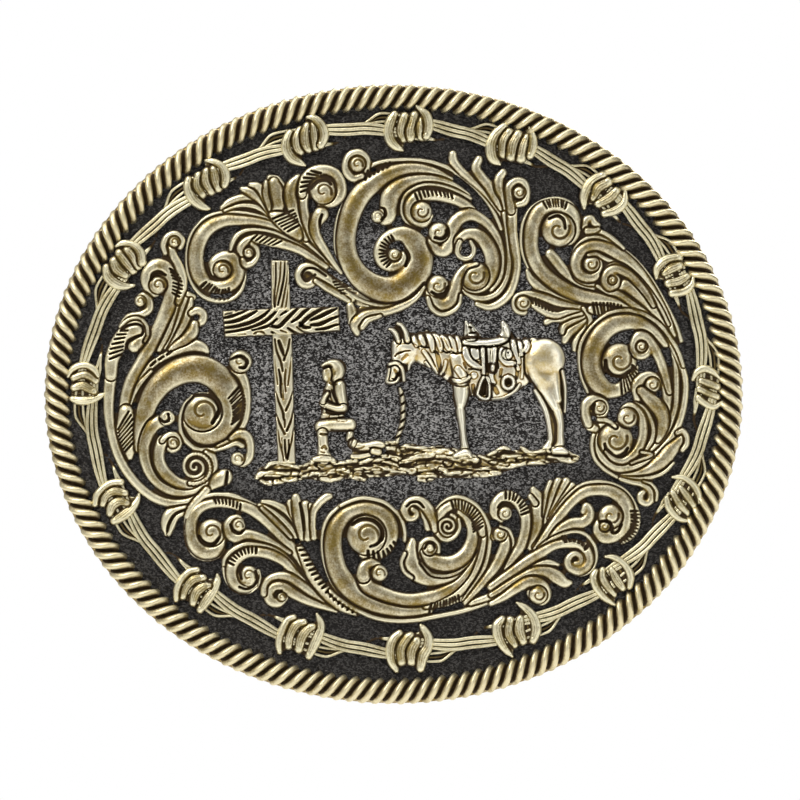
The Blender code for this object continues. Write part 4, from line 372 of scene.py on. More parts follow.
    # In the horse, the short cuts on the barrel at 472,386, 492,386 and 500,370 are dark grooves standing in for shade
    # under the body, a painted shade; the thin raised lines along the belly edge are drawn for the pale ridge colour
    # to paint a highlight there.
    "horse": """
m 1.35 | 466,366,22 480,368,29 495,369,30.5 508,366,26
m 1.30 | 416,344,9 426,350,16 438,353,18.5 450,357,22 462,362,25
m 1.20 | 524,353,12.5 532,350,12
m 1.95 | 543,360,21.5
m 1.7 | 532,364,10 538,374,11 545,380,13
m 1.55 | 546,386,11.5 550,398,7.5 554,407,5.4
m 1.5 | 549,376,11 553,390,7 556,400,5
m 1.35 | 554,406,5.65 557,414,4.85 559,424,4.05 559,436,4.05 559,443,4.65 556.5,449,5.25
d 1.4 0.4 0.56 | 553,451,3.65 560,450.5,4.45 565,452,2.85
d 1.0 0.4 0.98 | 534,391,2.25 539,399,3.05 544,409,3.25 547,420,2.95 548.5,430,2.85 549,440,3.05 546,446.5,3.65
m 1.05 | 543,447.5,2.4 548,446.5,3
m 1.75 | 457,360,11 459,372,10.5 460,384,9 460.5,395,8 460,404,6
m 1.45 | 459.5,396,7.75 459.5,408,5.05 460,414,4.85 461,422,4.25 462,432,3.65 463,441,3.85 464,447,4.45 463,452,4.85
d 1.5 0.4 0.56 | 454,456,3.05 461,453.5,4.25 467,453,3.85 470,457,2.05
m 1.15 | 444,366,5 443,371,4
m 1.45 | 399,346,8.5 406,348,10.5 411,351,8.5
m 1.50 | 396,345,5.5 395.5,354,4.8 395,362,4.4 394.5,366,5
m 1.30 | 403,357,8.5 409,356,7.5 400,362,6
m 1.45 | 395,369,6.5 391,376,5.5 390,380,5.2
m 1.0 | 412,357,6 409,364,3 408,370,1.6
d 1.55 0.4 0.98 | 388.5,330,1.45 392,331,2.65 395.5,335,3.15 398,342,2.65
d 1.60 0.4 0.98 | 397,324.5,1.95 401,326.5,2.85 405,333,3.25 407,341,3.45
v 0.43 | 399,328,0.94 401.5,333,1.01 402,337,0.78
d 1.3 0.4 0.98 | 561,372,2.45 563.5,385,2.25 564,398,1.95 563.5,412,1.65
d 1.7 0.5 0.70 | 389,365,2.15 395,363.8,2.35 400,366.5,2.35 402.5,373,2.25 403.5,381,2.25
d 1.7 0.5 0.56 | 388.5,370,1.95 387.5,376,1.95 386.5,382,1.95 391,383.5,1.85 396,382,1.75 398.5,378,1.45
v 0.34 | 394,370.5,1.40 396.5,374,1.64 399,377,1.09
v 0.31 | 391,379,0.70 394,380,0.78
v 0.46 | 394.5,357,1.09 397,354.5,0.94 401,353,0.86 405,351.8,0.78 409.5,351.5,0.70
v 0.28 | 396,348,0.62 400,345,0.62 405,344.5,0.55
v 0.34 | 400,365.5,1.40 404,366,1.40
v 0.25 | 402,360,1.72 406,356,1.87
v 0.22 | 411,343,0.55 416,347,0.78 419,350,0.62
v 0.22 | 415,345.5,0.55 418.5,347.5,0.62
o 0.32 0.9 | 412,335,2 413,340,2.6 416,346,2
o 0.34 0.9 | 419,334,2 420.5,339,2.9 423,345,2.4
o 0.36 0.9 | 426,332.5,2 429,338,3.1 431,345,3 432,351,2
o 0.36 0.9 | 433,334,2 437,339,2.9 439,346,3 440,351,2
o 0.36 0.9 | 441,337,2 445,342,2.9 447,348,2.8 451,352,1.8
o 0.32 0.9 | 449,338,1.8 452,343,2.7 454,351,2.6
o 0.30 0.9 | 456,338,1.8 458,344,2.6 459,351,2.2
v 0.28 | 422.5,336,0.55 425,341,0.70 426.5,347,0.55
v 0.28 | 435,337,0.55 438.5,342,0.62 439.5,348,0.55
v 0.28 | 443,339,0.55 446,345,0.62 448.5,349,0.55
v 0.40 | 420,347,0.78 424,348,1.01 428,348.5,0.78
v 0.40 | 441.5,351.5,0.78 446,353.5,0.86 450,352,0.78 455,354.5,0.86 460,353.5,0.78
v 0.34 | 433,352,1.01 436,354,1.87 438,362,2.50 439.5,371,1.87
v 0.22 | 427,353,0.70 431,360,0.86 434,367,0.78
o 0.26 0.8 | 423,352,2 428,359,2.2 433,368,1.8 436,374,1.5
o 0.30 0.8 | 445,362,1.7 443.5,369,1.6 440,375,1.5
o 0.22 0.8 | 425,363,1.5 429,368,1.3
v 0.22 | 449,360,0.78 451,370,1.01 452,378,0.78
v 0.25 | 463,364,1.25 465,369,1.01
o 0.22 0.8 | 457,370,3.6 462,376,4
o 0.30 0.9 | 451,380.5,2 458,382,2.2 465,380,2.2 468.5,377.5,1.7
v 0.34 | 455,386.5,0.86 462,387,0.94 467,385.5,0.78
v 0.34 | 523,353,0.94 522.5,364,1.17 524,374,1.09 529,381,0.94
v 0.19 | 528,344,0.62 531,340,0.62
v 0.31 | 472,386,1.87 473,394,1.72
v 0.31 | 492,386,2.34 496,393,2.34
v 0.31 | 514,366,1.72 516,372,2.03 515,379,1.72
v 0.28 | 500,370,1.56 499,377,1.56
o 0.28 0.7 | 478,400,1.3 486,400.5,1.3 494,399.3,1.3 502,398.5,1.6 508,395.5,1.7 514,391,1.7 518.5,385,1.5
o 0.24 0.7 | 520.5,378,1.5 521.3,368,1.4 521,359,1.2
""",
    "saddle": """
o 0.55 1.0 | 524,341,3.4 526,346,3.2 524,351,3
o 0.60 1.2 | 465.3,323,2 466,330,2.8 467,337,4 472,338,3.6
o 0.20 0.0 | 470,325,2 474,331,2.2 478,337,2.6
o 0.45 0.0 | 468.5,327,3.2 470,332,4 472,337,4.5
v 0.42 | 467.5,328,0.77 471,328.3,0.85
v 0.42 | 468.5,334,0.85 474,333.5,0.94
o 0.55 1.1 | 464,350,3.2 465.5,356,3.8 469,362,3.8 475,366.5,3.2 478.5,368,2.4
o 0.32 0.6 | 472,352,4 475,356,4.6 478,353,4
o 0.55 1.1 | 481.5,349,2.4 482,358,2.2 482.2,366,2.1 482.5,374,2
o 0.42 0.9 | 488,350,2.4 488.5,357,2.2 488.5,363,1.8
o 0.60 1.1 | 493,349,3 492.5,357,3 492,364,2.6 491.5,370,2.3
o 0.50 1.0 | 491.3,368,2.7 490,375,2.7 490.5,381,3 493,383,2
o 0.50 1.0 | 501,351,3.4 500.5,358,3.4 505,363.5,3 512,364,2.6
o 0.45 1.0 | 512,341,3.4 513,349,3.2 516,357,2.8 518,363,2.2
o 0.42 1.0 | 517,340,2.6 519,347,2.6 520,355,2.4
o 0.30 0.8 | 515,364,1.8 517,370,2
o 0.75 1.2 | 464,343,2.9 474,343.3,3.5 486,343.3,3.5 496,341.5,4.2 503,337,5.2 504.5,330,4.6 502,324,2.8
o 0.25 0.0 | 505,330,3 509,336,3 512,341,2.6
v 0.45 | 467.5,346.8,0.85 472,348,1.02 480,347.6,0.94 490,347.8,0.94 498,346.3,0.85 505,343.5,0.77 508.5,341,0.68
v 0.39 | 468.8,350,0.68 469.5,356,0.77 473,361,0.77 478,362.5,0.59
v 0.39 | 478.8,350,0.51 478.8,360,0.59
v 0.42 | 484.8,350,0.77 485,360,0.85 486.2,367,1.02 486,372,1.19
v 0.42 | 496.6,349,0.77 496.2,359,0.85 497,369,0.77
v 0.35 | 508.8,338,0.68 509.3,345,0.68 510,350,0.59
v 0.35 | 515,341,0.59 516.3,350,0.68 517.5,358,0.59
v 0.39 | 468,369.8,0.85 473,369.6,0.85 478.5,369.4,0.77
o 0.22 0.6 | 473,376,3.6
o 0.55 1.2 | 506,355,5.4
v 0.39 | 506.8,353.5,1.10
v 0.24 | 503,350.5,0.51 501.2,354,0.51 502.5,359,0.51 506,361,0.51 510.3,359.5,0.51
o 0.60 1.0 | 507,376.8,1.9 511,378.8,1.9 512.3,383,1.9 511,387.3,1.9 507,389.2,1.9 503,387.3,1.9 501.7,383,1.9 503,378.8,1.9 507,376.8,1.9
v 0.56 | 507,383,2.46
o 0.65 1.0 | 482.5,377.8,1.8 479.7,383,1.6 477.7,389.5,1.6 476.6,395,1.8 481,398.6,1.7 487.3,398.9,1.5 488.4,392,1.4 487.9,384,1.5 486,378.2,1.7
v 0.56 | 483.5,383,1.36 482.8,389,2.04 482.5,394,1.87
""",
    "kneeling_figure": """
m 1.05 | 331,388,5.90 329,396,7.10 328.5,404,7.90 330,413,8.40
m 1.0 | 334,398,6.90 336,408,7.90 337,415,7.40
m 0.85 | 325.5,413,3.90 324.5,418,4.10
m 1.3 | 332,372,9.70 337,369,9.30
m 1.05 | 327.5,374.5,5.50 326.5,378.2,4.30
m 0.95 | 332,381,5.10 331,386,4.90
o 0.12 0.0 | 323.4,372.2,1.5 322.4,373.6,1.1
d 1.62 0.5 0.30 | 322,366.3,1.60 327,363.8,2.60 332,363.2,3.90 336,366,6.30 338.3,370.5,7.10 338,375,6.30 336,379,4.50
v 0.28 | 324,368.6,0.94 328,367.4,1.02 331.5,367.8,0.94
v 0.17 | 325.2,371.6,0.47 326.8,371.3,0.47
v 0.15 | 323.8,376.8,0.38 325.8,376.9,0.38
v 0.25 | 331.2,371,0.59 332,375,0.68 331.6,379,0.68
v 0.22 | 334.6,372.6,0.77 334.2,375,0.77
d 1.75 0.5 0.78 | 340,386,5.90 340.3,392,6.30 342,400,5.50 343.5,407,4.80
d 1.65 0.5 0.66 | 343.5,408.5,4.50 337,409,3.90 330,407.2,3.50 324.5,405,3.80 322.5,403.5,3.70
d 1.5 0.5 0.60 | 323,402,3.30 325,397.5,2.70 327.5,394,2.30
o 0.22 0.8 | 324,409,1.6 324.5,412,1.4
v 0.31 | 331.5,390,0.68 333.5,396,0.77 336.5,402,0.68 338,404.5,0.59
v 0.25 | 329.5,391,0.59 330.5,397,0.68 332,402,0.68
v 0.28 | 327.5,400,0.94 331,402.5,1.02 334,404,0.77
v 0.25 | 329.5,383.5,0.77 333.5,385.5,0.85 336.5,385,0.68
v 0.34 | 327,413,0.85 332,414.5,1.02 338,414.5,0.94 344,413,0.77
o 0.20 0.7 | 331,417,1.6 337,416.5,1.6
d 1.55 0.5 0.72 | 321,427,6.80 330,425.5,6.60 340,425,6.80 350,425,6.70
o 0.12 0.4 | 345,420.5,1.4 338,419.8,1.3
v 0.19 | 331,430,0.85 338,431,0.94 346,430.5,0.85
d 1.35 0.5 0.72 | 322.5,434,5.90 323,441,5.50 323.3,448,5.90 323.5,454,6.50 324,457,7.70
d 1.15 0.4 0.24 | 314,459.5,2.90 321,458.5,3.70 330,459,3.30
v 0.40 | 320.5,434.3,1.19 324,434.6,1.44 327.5,434.3,1.10
v 0.34 | 322,448,1.44 324.5,446.5,1.61 326.5,449,1.27
v 0.28 | 320.8,452,0.77 324.5,452.8,0.85
v 0.19 | 319.6,440,0.51 320.4,446,0.51
d 1.15 0.4 0.72 | 350,434,3.90 349,439,3.70
d 1.35 0.5 0.72 | 353,444,5.70 360,446.5,4.50 368,446.3,4.70 376,445,5.10 382,445,3.50
o 0.25 0.7 | 355,441,2.2 353,445,2.2
v 0.28 | 354,449,0.77 360,448.6,1.10 364,446.5,0.77
v 0.25 | 369,447.5,0.85 374,449,1.53
d 0.9 0.4 0.54 | 352,456.5,2.50 360,456.3,2.90 369,454.5,2.70
d 1.3 0.4 0.60 | 373,451,3.90 378,452,4.10
""",
    "lead_rope": """
d 1.2 0.4 1.2 | 399.5,389,2 401,394,2.8 402,400,2.8 402.6,410,2.8 402.3,420,2.8 400.5,428,2.8 398,436,2.6 396.5,442,2.4
v 0.9 | 397,397.5,.8 400.5,396,1.2 405,392.5,.8
v 0.9 | 398.5,406,.8 401.5,404.5,1.2 406,401,.8
v 0.9 | 399,414.5,.8 402,413,1.2 406,409.5,.8
v 0.9 | 398.5,423,.8 401.5,421.5,1.2 405.5,418,.8
v 0.9 | 397,431,.8 400,429.5,1.2 404,426.5,.8
v 0.9 | 395,438.5,.8 397.5,437,1.1 401,434.5,.8
""",
    "barb_01": """
s 394,116,3.5 390,124,5 388,133,5 390,142,5 395,148,4 402,152,1.5
s 404,118,4 402,126,5 401,134,5 403,141,3.5
s 414,117,4 412,126,5 410,134,5.5 410,140,4
s 421,122,3.5 420,131,5 421,139,4
s 416,108,1.5 421,112,3 426,118,4.5 428,128,5 426,138,4
""",
    "barb_02": """
s 290,135,4 287,143,5 287,152,5.5 292,160,5 299,164,3.5 305,167,1.5
s 300,132,4 297,141,5.5 298,150,5 301,154,3
s 307,128,4 305,138,5 306,147,4.5 309,152,3
s 314,127,4 315,138,5 316,149,4
s 307,119,1.5 314,120,3.5 321,127,4.5 324,137,5 321,147,4
""",
    "barb_03": """
s 189,181,3.5 189,189,5 193,199,5.5 200,206,4.5 206,209,3 210,210,1.5
s 199,177,4 198,187,5 203,196,4
s 207,173,4 207,183,5.5 212,193,4
s 214,171,4 216,181,5 219,190,4
s 206,162,1.5 214,163,3 222,168,4 226,177,5 225,186,4
""",
    "barb_04": """
s 107,268,3.5 109,277,5 116,284,5.5 124,287,4 130,287,2.5 135,286,1.5
s 115,262,4.5 118,270,5.5 126,276,4
s 120,254,4 126,261,5.5 134,271,4.5
s 128,251,4 134,257,5 139,267,4
s 117,247,1.5 124,244,3 134,246,3.5 141,253,4.5 143,263,4.5
""",
    "barb_05": """
s 73,399,3 82,401,4.5 92,400,4 100,397,3 105,394,1.5
s 75,388,3.5 84,386,4.5 95,392,3.5
s 75,378,3.5 86,375,4 97,381,3.5
s 69,377,1.5 73,370,3 80,366,3.5 88,366,3.5 95,370,3.5 99,376,2.5
""",
    "barb_06": """
s 115,521,3.5 123,516,5 132,509,4.5 138,501,3 140,494,1.5
s 111,513,3.5 114,505,5 121,501,4.5 128,503,3.5
s 104,504,3 107,496,4 115,491,4.5 126,493,3.5
s 96,504,3 98,495,3.5 104,488,3.5 112,483,3.5 122,482,3.5
""",
    "barb_07": """
s 201,609,3.5 207,600,5 214,590,4.5 218,581,3.5 218,574,1.5
s 194,602,3.5 197,592,5 204,586,4.5 210,585,3
s 184,596,3 187,587,4 194,579,4.5 204,577,3.5
s 177,599,2.5 178,588,3.5 183,578,3.5 190,571,3.5 198,569,3
""",
    "barb_08": """
s 309,655,3.5 315,642,5 320,630,4.5 321,622,3.5 317,613,1.5
s 299,648,4 302,636,5 308,628,4.5 313,626,3.5
s 289,645,3.5 290,635,4.5 296,624,4.5 304,621,3.5
s 280,651,2.5 279,641,3.5 283,628,4 288,619,3.5 294,616,3
""",
    "barb_09": """
s 396,669,2.5 391,660,4 390,648,5 393,638,4.5 399,632,3.5
s 401,660,4.5 401,648,5.5 406,638,4.5 410,634,3.5
s 411,660,4.5 411,650,5.5 416,640,4.5
s 420,667,4 422,655,5.5 427,646,5 428,637,4.5 424,629,3.5 420,624,1.5
""",
    "barb_10": """
s 511,655,1.5 504,648,3.5 498,637,5 496,625,5 501,618,3.5
s 514,644,3 508,633,5 509,619,4
s 522,640,4 518,629,5.5 519,618,4
s 516,602,1.5 524,607,3.5 532,616,4.5 535,628,5 532,639,4
""",
    "barb_11": """
s 613,604,1.5 603,597,3.5 595,587,4 592,577,4 594,571,3
s 613,594,2.5 606,586,4 601,577,4 601,569,3
s 621,587,3.5 615,579,4.5 610,569,3
s 604,556,1.5 613,557,3 623,564,3.5 629,575,4 628,586,3
""",
    "barb_12": """
s 688,521,1.5 677,518,3 668,508,4 665,498,3
s 686,513,2.5 678,504,4 671,492,3
s 692,505,3 685,495,4 679,487,2.5
s 671,477,1.5 681,477,3 691,484,3.5 697,494,3.5 698,502,2
""",
    "barb_13": """
s 697,398,3.5 704,404,3.5 713,407,3 721,402,1.5
s 698,389,3.5 706,393,3.5 716,397,3
s 700,381,3.5 708,384,4 716,387,3.5
s 691,380,1.5 696,372,3.5 703,369,4 711,372,3.5 719,379,1.5
""",
    "barb_14": """
s 655,279,1.5 656,269,4 665,261,5 678,258,4
s 663,274,3 670,269,5 678,266,4
s 667,284,4 677,282,4.5 686,277,3.5
s 671,294,4 682,292,4 690,286,3.5 692,277,1.5
""",
    "barb_15": """
s 583,209,2 583,197,4.5 590,184,5.5 602,176,4
s 592,199,3.5 597,189,5 607,183,4.5
s 597,205,4 608,199,5 615,192,4
s 603,215,3.5 615,211,4.5 623,203,3.5 624,190,1.5
""",
    "barb_16": """
s 499,166,1.5 492,160,5 490,148,5.5 494,137,5 503,128,4
s 502,155,5 503,143,5.5 508,134,4.5
s 510,158,5 512,146,5.5 517,136,4.5
s 520,160,5 523,148,5.5 526,139,4
s 529,157,4 532,146,4.5 531,135,3 528,129,1.5
""",
    "cross_upright": """
q 1.15 | 271,261,0 289,261,0 292.5,335,0 296,464,0 278,464,0 272,335,0
q 0.45 | 269,312.5,0 295,311.8,0 295,333.3,0 269,334.3,0
v 0.55 | 276,264,.7 276,280,.9 275,295,.9 274.5,308,.7
v 0.45 | 281,263,.6 280,280,.7 277,295,.9 275.5,308,.8
v 0.60 | 285,262,.6 284.5,275,.9 282,290,1.1 278,306,1
v 0.45 | 288,264,.6 287,280,.7 284.5,295,.9 282,308,.8
v 0.35 | 289,284,.5 287.5,297,.7 286,308,.6
v 0.30 | 273.5,266,.6 273.8,285,.7 273.5,305,.6
v 0.50 | 275,340,1 277,352,1 281,362,1.2 283,372,.8
v 0.50 | 290,340,1 288,350,1 284,361,1.2
v 0.60 | 279,342,1.6 282,350,1.8 284,356,1
v 0.35 | 274.5,356,.6 276,370,.8 278,385,.7
v 0.35 | 292,355,.6 290,372,.8 288,386,.7
v 0.55 | 279,370,.8 281,380,1.3 281,390,1.1 282,398,.8
v 0.40 | 286,370,.7 285,382,1 286,392,.8
v 0.50 | 276,392,.7 279,402,1 283,412,1.3 284,420,.8
v 0.50 | 293,392,.7 290,402,1 286,411,1.1
v 0.30 | 283,384,.6 283.5,400,.8
v 0.50 | 276.5,414,.7 280,424,1.1 285,434,1.2
v 0.50 | 294,408,.7 291.5,420,1.1 287,431,1.2
v 0.45 | 285,420,.8 285,428,.7
v 0.45 | 278,430,.7 280,442,1 283,454,1 284,461,.7
v 0.45 | 294,428,.7 292,440,1 289,452,1 288,460,.7
v 0.55 | 285,440,.8 285.5,450,1.3 287,458,1.4 289,450,1 289,440,.7
v 0.30 | 282,438,.6 282.5,448,.7
""",
    "cross_beam": """
q 1.55 | 222.5,311.5,0 285,308.5,0 339,307.5,0 340.5,332,0 290,336,0 225,338.5,0
v 0.85 | 224,319,1.2 232,317,1.8 241,314,1.3 248,311,.9
v 0.85 | 224,324,1.2 236,322,1.8 248,317,1.8 257,312,1.1
v 0.85 | 224,329,1.2 238,327,1.7 252,323,1.9 263,317,1.6 270,311,1
v 0.80 | 225,333.5,1.1 238,331.5,1.4 252,328,1.6 264,323,1.8 273,316,1.5 278,310,.9
v 0.50 | 226,315.5,1 233,313.5,1.2 238,311.8,.7
v 0.75 | 253,331,1.1 263,328.5,1.5 270,326,1.3 277,320,1.2
v 0.85 | 271,327,1.3 279,327.5,1.8 286,321,1.9 292,315,1.7 298,309.5,1.2
v 0.75 | 281,316,.9 287,312,1.2 291,309.5,.8
v 0.80 | 292,323,1.1 298,319,1.6 304,313,1.8 310,309,1.1
v 0.80 | 300,327,1.4 305,321,1.9 313,315,2 322,310,1.6 329,308.5,.9
v 0.80 | 311,321,1.3 320,317.5,1.9 330,312.5,1.8 337,309.5,1
v 0.80 | 300,324,1.2 304,328,1.9 310,328.5,1.2
v 0.80 | 311,326,1.2 320,325,1.9 330,320.5,1.6 339,317,1
v 0.75 | 316,330.5,1 325,329.5,1.5 334,326.5,1.3 339.5,325,.9
v 0.60 | 288,329,1 294,333,1.5 299,335,1
v 0.60 | 272,333,1.2 279,336.5,1.2 287,337,1
v 0.50 | 297,328,.8 303,332.5,1.2 309,334,.9
v 0.45 | 255,334.5,1.4 258,332.5,1 263,333,1.2 266,336,.9
v 0.40 | 238,336,.7 246,335,.9
v 0.40 | 281,331.5,.9 287,333.5,.8
v 0.40 | 317,334,.8 323,332.5,.9
""",
}

# ------------------------------------------------------------ relief engine
STEP = 0.62            # spacing of the relief grid, in sheet units
FLOOR = -0.30          # height outside the metal, sunk under the ground, mm
PLINTH = 0.34          # height of the steep edge of every stroke, mm
MOAT = 0.16            # height left in the dark line round a stroke, mm


def parse(text):
    return [tuple(float(n) for n in p.split(",")) for p in text.split()]


def smooth_path(points, pace=0.8):
    pts = np.array(points, float)
    if len(pts) == 1:
        return pts
    ext = np.vstack([2 * pts[0] - pts[1], pts, 2 * pts[-1] - pts[-2]])
    out = []
    for i in range(1, len(ext) - 2):
        p0, p1, p2, p3 = ext[i - 1], ext[i], ext[i + 1], ext[i + 2]
        n = max(2, int(np.hypot(*(p2 - p1)[:2]) / pace))
        t = np.linspace(0, 1, n, endpoint=False)[:, None]
        out.append(0.5 * ((2 * p1) + (p2 - p0) * t
                          + (2 * p0 - 5 * p1 + 4 * p2 - p3) * t ** 2
                          + (3 * p1 - p0 - 3 * p2 + p3) * t ** 3))
    out.append(pts[-1:])
    return np.vstack(out)


def coil(cu, cv, r, turns, w, sense):
    t = np.linspace(0, 1, int(turns * 30))
    a = t * turns * 2 * math.pi * sense
    rr = 1.0 + (r - 1.0) * t
    return np.stack([cu + rr * np.cos(a), cv + rr * np.sin(a),
                     w * (0.55 + 0.45 * t)], axis=1)


def ease(x, a, b):
    t = np.clip((x - a) / (b - a), 0, 1)
    return t * t * (3 - 2 * t)


def blur(f, sigma):
    r = max(1, int(3 * sigma + 0.5))
    k = np.exp(-0.5 * (np.arange(-r, r + 1) / sigma) ** 2)
    k /= k.sum()
    p = np.pad(f, ((r, r), (0, 0)), mode="edge")
    f = sum(k[i] * p[i:i + f.shape[0]] for i in range(2 * r + 1))
    p = np.pad(f, ((0, 0), (r, r)), mode="edge")
    return sum(k[i] * p[:, i:i + f.shape[1]] for i in range(2 * r + 1))


def spread(f, n, op=np.maximum):
    """Largest (or smallest) value within about n cells."""
    for i in range(n):
        g = f.copy()
        g[1:] = op(g[1:], f[:-1]); g[:-1] = op(g[:-1], f[1:])
        h = f if i % 2 else g
        g[:, 1:] = op(g[:, 1:], h[:, :-1]); g[:, :-1] = op(g[:, :-1], h[:, 1:])
        f = g
    return f


def noise2(us, vs, scale, seed):
    """Smooth value noise over the sheet, -1 to 1."""
    rng = np.random.RandomState(seed)
    n = 256
    tab = rng.uniform(-1, 1, (n, n))
    x = us / scale + 1000.0
    y = vs / scale + 1000.0
    xi = np.floor(x).astype(int)
    yi = np.floor(y).astype(int)
    fx = x - xi
    fy = y - yi
    fx = fx * fx * (3 - 2 * fx)
    fy = fy * fy * (3 - 2 * fy)
    a = tab[yi % n, xi % n]
    b = tab[yi % n, (xi + 1) % n]
    c = tab[(yi + 1) % n, xi % n]
    d = tab[(yi + 1) % n, (xi + 1) % n]
    return (a * (1 - fx) + b * fx) * (1 - fy) + (c * (1 - fx) + d * fx) * fy


class Relief:
    """Heights over a window of the sheet, in mm above the ground."""

    def __init__(self, u0, v0, u1, v1, step=STEP):
        self.u0, self.v0, self.step = u0, v0, step
        self.nu = int((u1 - u0) / step) + 1
        self.nv = int((v1 - v0) / step) + 1
        self.us = u0 + step * np.arange(self.nu)
        self.vs = v0 + step * np.arange(self.nv)
        self.h = np.full((self.nv, self.nu), FLOOR)
        self.mark = np.zeros((self.nv, self.nu), bool)

    def window(self, pts, margin):
        m = pts[:, 2].max() + margin
        i0 = max(0, int((pts[:, 0].min() - m - self.u0) / self.step))
        i1 = min(self.nu, int((pts[:, 0].max() + m - self.u0) / self.step) + 2)
        j0 = max(0, int((pts[:, 1].min() - m - self.v0) / self.step))
        j1 = min(self.nv, int((pts[:, 1].max() + m - self.v0) / self.step) + 2)
        return j0, j1, i0, i1

    def field(self, pts, margin, tops=None, edge=PLINTH, power=0.5):
        """Dome heights and signed distance of one stroke, in its window."""
        j0, j1, i0, i1 = self.window(pts, margin)
        us, vs = self.us[i0:i1], self.vs[j0:j1]
        hh = np.full((j1 - j0, i1 - i0), -9.0)
        sd = np.full((j1 - j0, i1 - i0), 99.0)
        for k, (u, v, r) in enumerate(pts):
            m = r + margin
            a0 = max(0, int((u - m - us[0]) / self.step))
            a1 = min(len(us), int((u + m - us[0]) / self.step) + 2)
            b0 = max(0, int((v - m - vs[0]) / self.step))
            b1 = min(len(vs), int((v + m - vs[0]) / self.step) + 2)
            if a1 <= a0 or b1 <= b0:
                continue
            d = np.hypot(us[None, a0:a1] - u, vs[b0:b1, None] - v)
            w = sd[b0:b1, a0:a1]
            np.minimum(w, d - r, out=w)
            top = tops[k] if tops is not None else 0.62 + 0.062 * min(r, 12)
            q = np.clip(1 - (d / r) ** 2, 0, 1) ** power
            val = np.where(d < r, edge + (top - edge) * q, -9.0)
            w = hh[b0:b1, a0:a1]
            np.maximum(w, val, out=w)
        return (slice(j0, j1), slice(i0, i1)), hh, sd

    def stroke(self, pts, moat=1.5, lift=0.0, power=0.5, edge=PLINTH, keep=0.9,
               tops=None, blend=None):
        win, hh, sd = self.field(pts, moat + 1.5, tops, edge, power)
        h = self.h[win]
        if moat > 0:
            band = ease(sd, 0.0, moat)
            low = np.minimum(h, MOAT + (np.maximum(h, MOAT) - MOAT) * band)
            h = np.where((sd > -0.4) & (h > MOAT), low, h)
        inside = hh > -5
        if blend is None:
            over = np.maximum(hh + lift, h * keep)
        else:
            k = blend
            e = np.exp(np.clip((hh + lift) / k, -60, 60)) + np.exp(np.clip(h / k, -60, 60))
            over = k * np.log(e)
            over = np.where(h <= FLOOR + 0.01, hh + lift, over)
        self.h[win] = np.where(inside, over, h)
        self.mark[win] |= inside

    def overlay(self, pts, lift, moat=1.2, power=0.5, groove=0.30):
        """Raise a stroke over whatever is already there."""
        win, hh, sd = self.field(pts, moat + 1.5, np.full(len(pts), 1.0), 0.0, power)
        h = np.maximum(self.h[win], 0.15)
        inside = hh > -5
        if moat > 0:
            dip = groove * (1 - ease(np.abs(sd - 0.2), 0.0, moat))
            old = self.h[win]
            self.h[win] = np.where((~inside) & (old > 0.2), np.maximum(old - dip, 0.16), old)
        self.h[win] = np.where(inside, h + lift * (0.35 + 0.65 * np.clip(hh, 0, 1)),
                               self.h[win])
        self.mark[win] |= inside

    def board(self, corners, top, bevel=1.6):
        """A flat-topped board with eased edges; corners in order."""
        c = np.array(corners, float)[:, :2]
        d = np.full(self.h.shape, 99.0)
        mid = c.mean(0)
        for i in range(len(c)):
            a, b = c[i], c[(i + 1) % len(c)]
            e = b - a
            n = np.array([-e[1], e[0]]) / np.hypot(*e)
            if np.dot(mid - a, n) < 0:
                n = -n
            d = np.minimum(d, (self.us[None, :] - a[0]) * n[0]
                           + (self.vs[:, None] - a[1]) * n[1])
        q = 1 - (1 - np.clip(d / bevel, 0, 1)) ** 2
        h = 0.45 + (top - 0.45) * q
        self.h = np.where(d > 0, np.maximum(h, self.h * 0.0), self.h)
        self.mark |= d > 0

    def cut(self, pts, depth=0.75, floor=0.12):
        """A groove: pts hold half-widths."""
        p = np.array(pts, float)
        if p.shape[1] == 2:
            p = np.hstack([p, np.full((len(p), 1), 1.1)])
        j0, j1, i0, i1 = self.window(p, 2)
        us, vs = self.us[i0:i1], self.vs[j0:j1]
        s = np.full((j1 - j0, i1 - i0), 9.0)
        for u, v, r in p:
            m = r * 1.6 + 1
            a0 = max(0, int((u - m - us[0]) / self.step))
            a1 = min(len(us), int((u + m - us[0]) / self.step) + 2)
            b0 = max(0, int((v - m - vs[0]) / self.step))
            b1 = min(len(vs), int((v + m - vs[0]) / self.step) + 2)
            if a1 <= a0 or b1 <= b0:
                continue
            d = np.hypot(us[None, a0:a1] - u, vs[b0:b1, None] - v) / r
            w = s[b0:b1, a0:a1]
            np.minimum(w, d, out=w)
        h = self.h[j0:j1, i0:i1]
        a = 1 - ease(s, 0.45, 1.35)
        target = np.maximum(h - depth, np.minimum(h, floor))
        self.h[j0:j1, i0:i1] = h + (target - h) * a

    def knit(self, reach, level, above=0.26):
        """Fill narrow gaps between neighbouring strokes up to a low web."""
        n = max(1, int(round(reach / self.step)))
        metal = (self.h > above).astype(float)
        pad = np.pad(metal, n + 1)
        near = spread(spread(pad, n), n, np.minimum)[n + 1:-n - 1, n + 1:-n - 1]
        web = (near > 0.5) & (self.h < level)
        self.h = np.where(web, level, self.h)

    def comb(self, count, w, path_a, path_b, depth=0.7):
        a = smooth_path([(u, v, 0) for u, v in path_a])
        b = smooth_path([(u, v, 0) for u, v in path_b])
        for i in range(count):
            t = (i + 0.5) / count
            p = a[int(t * (len(a) - 1))][:2]
            q = b[int(t * (len(b) - 1))][:2]
            n = max(3, int(np.hypot(*(q - p)) / 0.7))
            s = np.linspace(0, 1, n)[:, None]
            line = p + (q - p) * s
            half = w * (0.75 + 0.45 * np.sin(np.pi * np.clip(s, 0.1, 0.9)))
            self.cut(np.hstack([line, half]), depth)

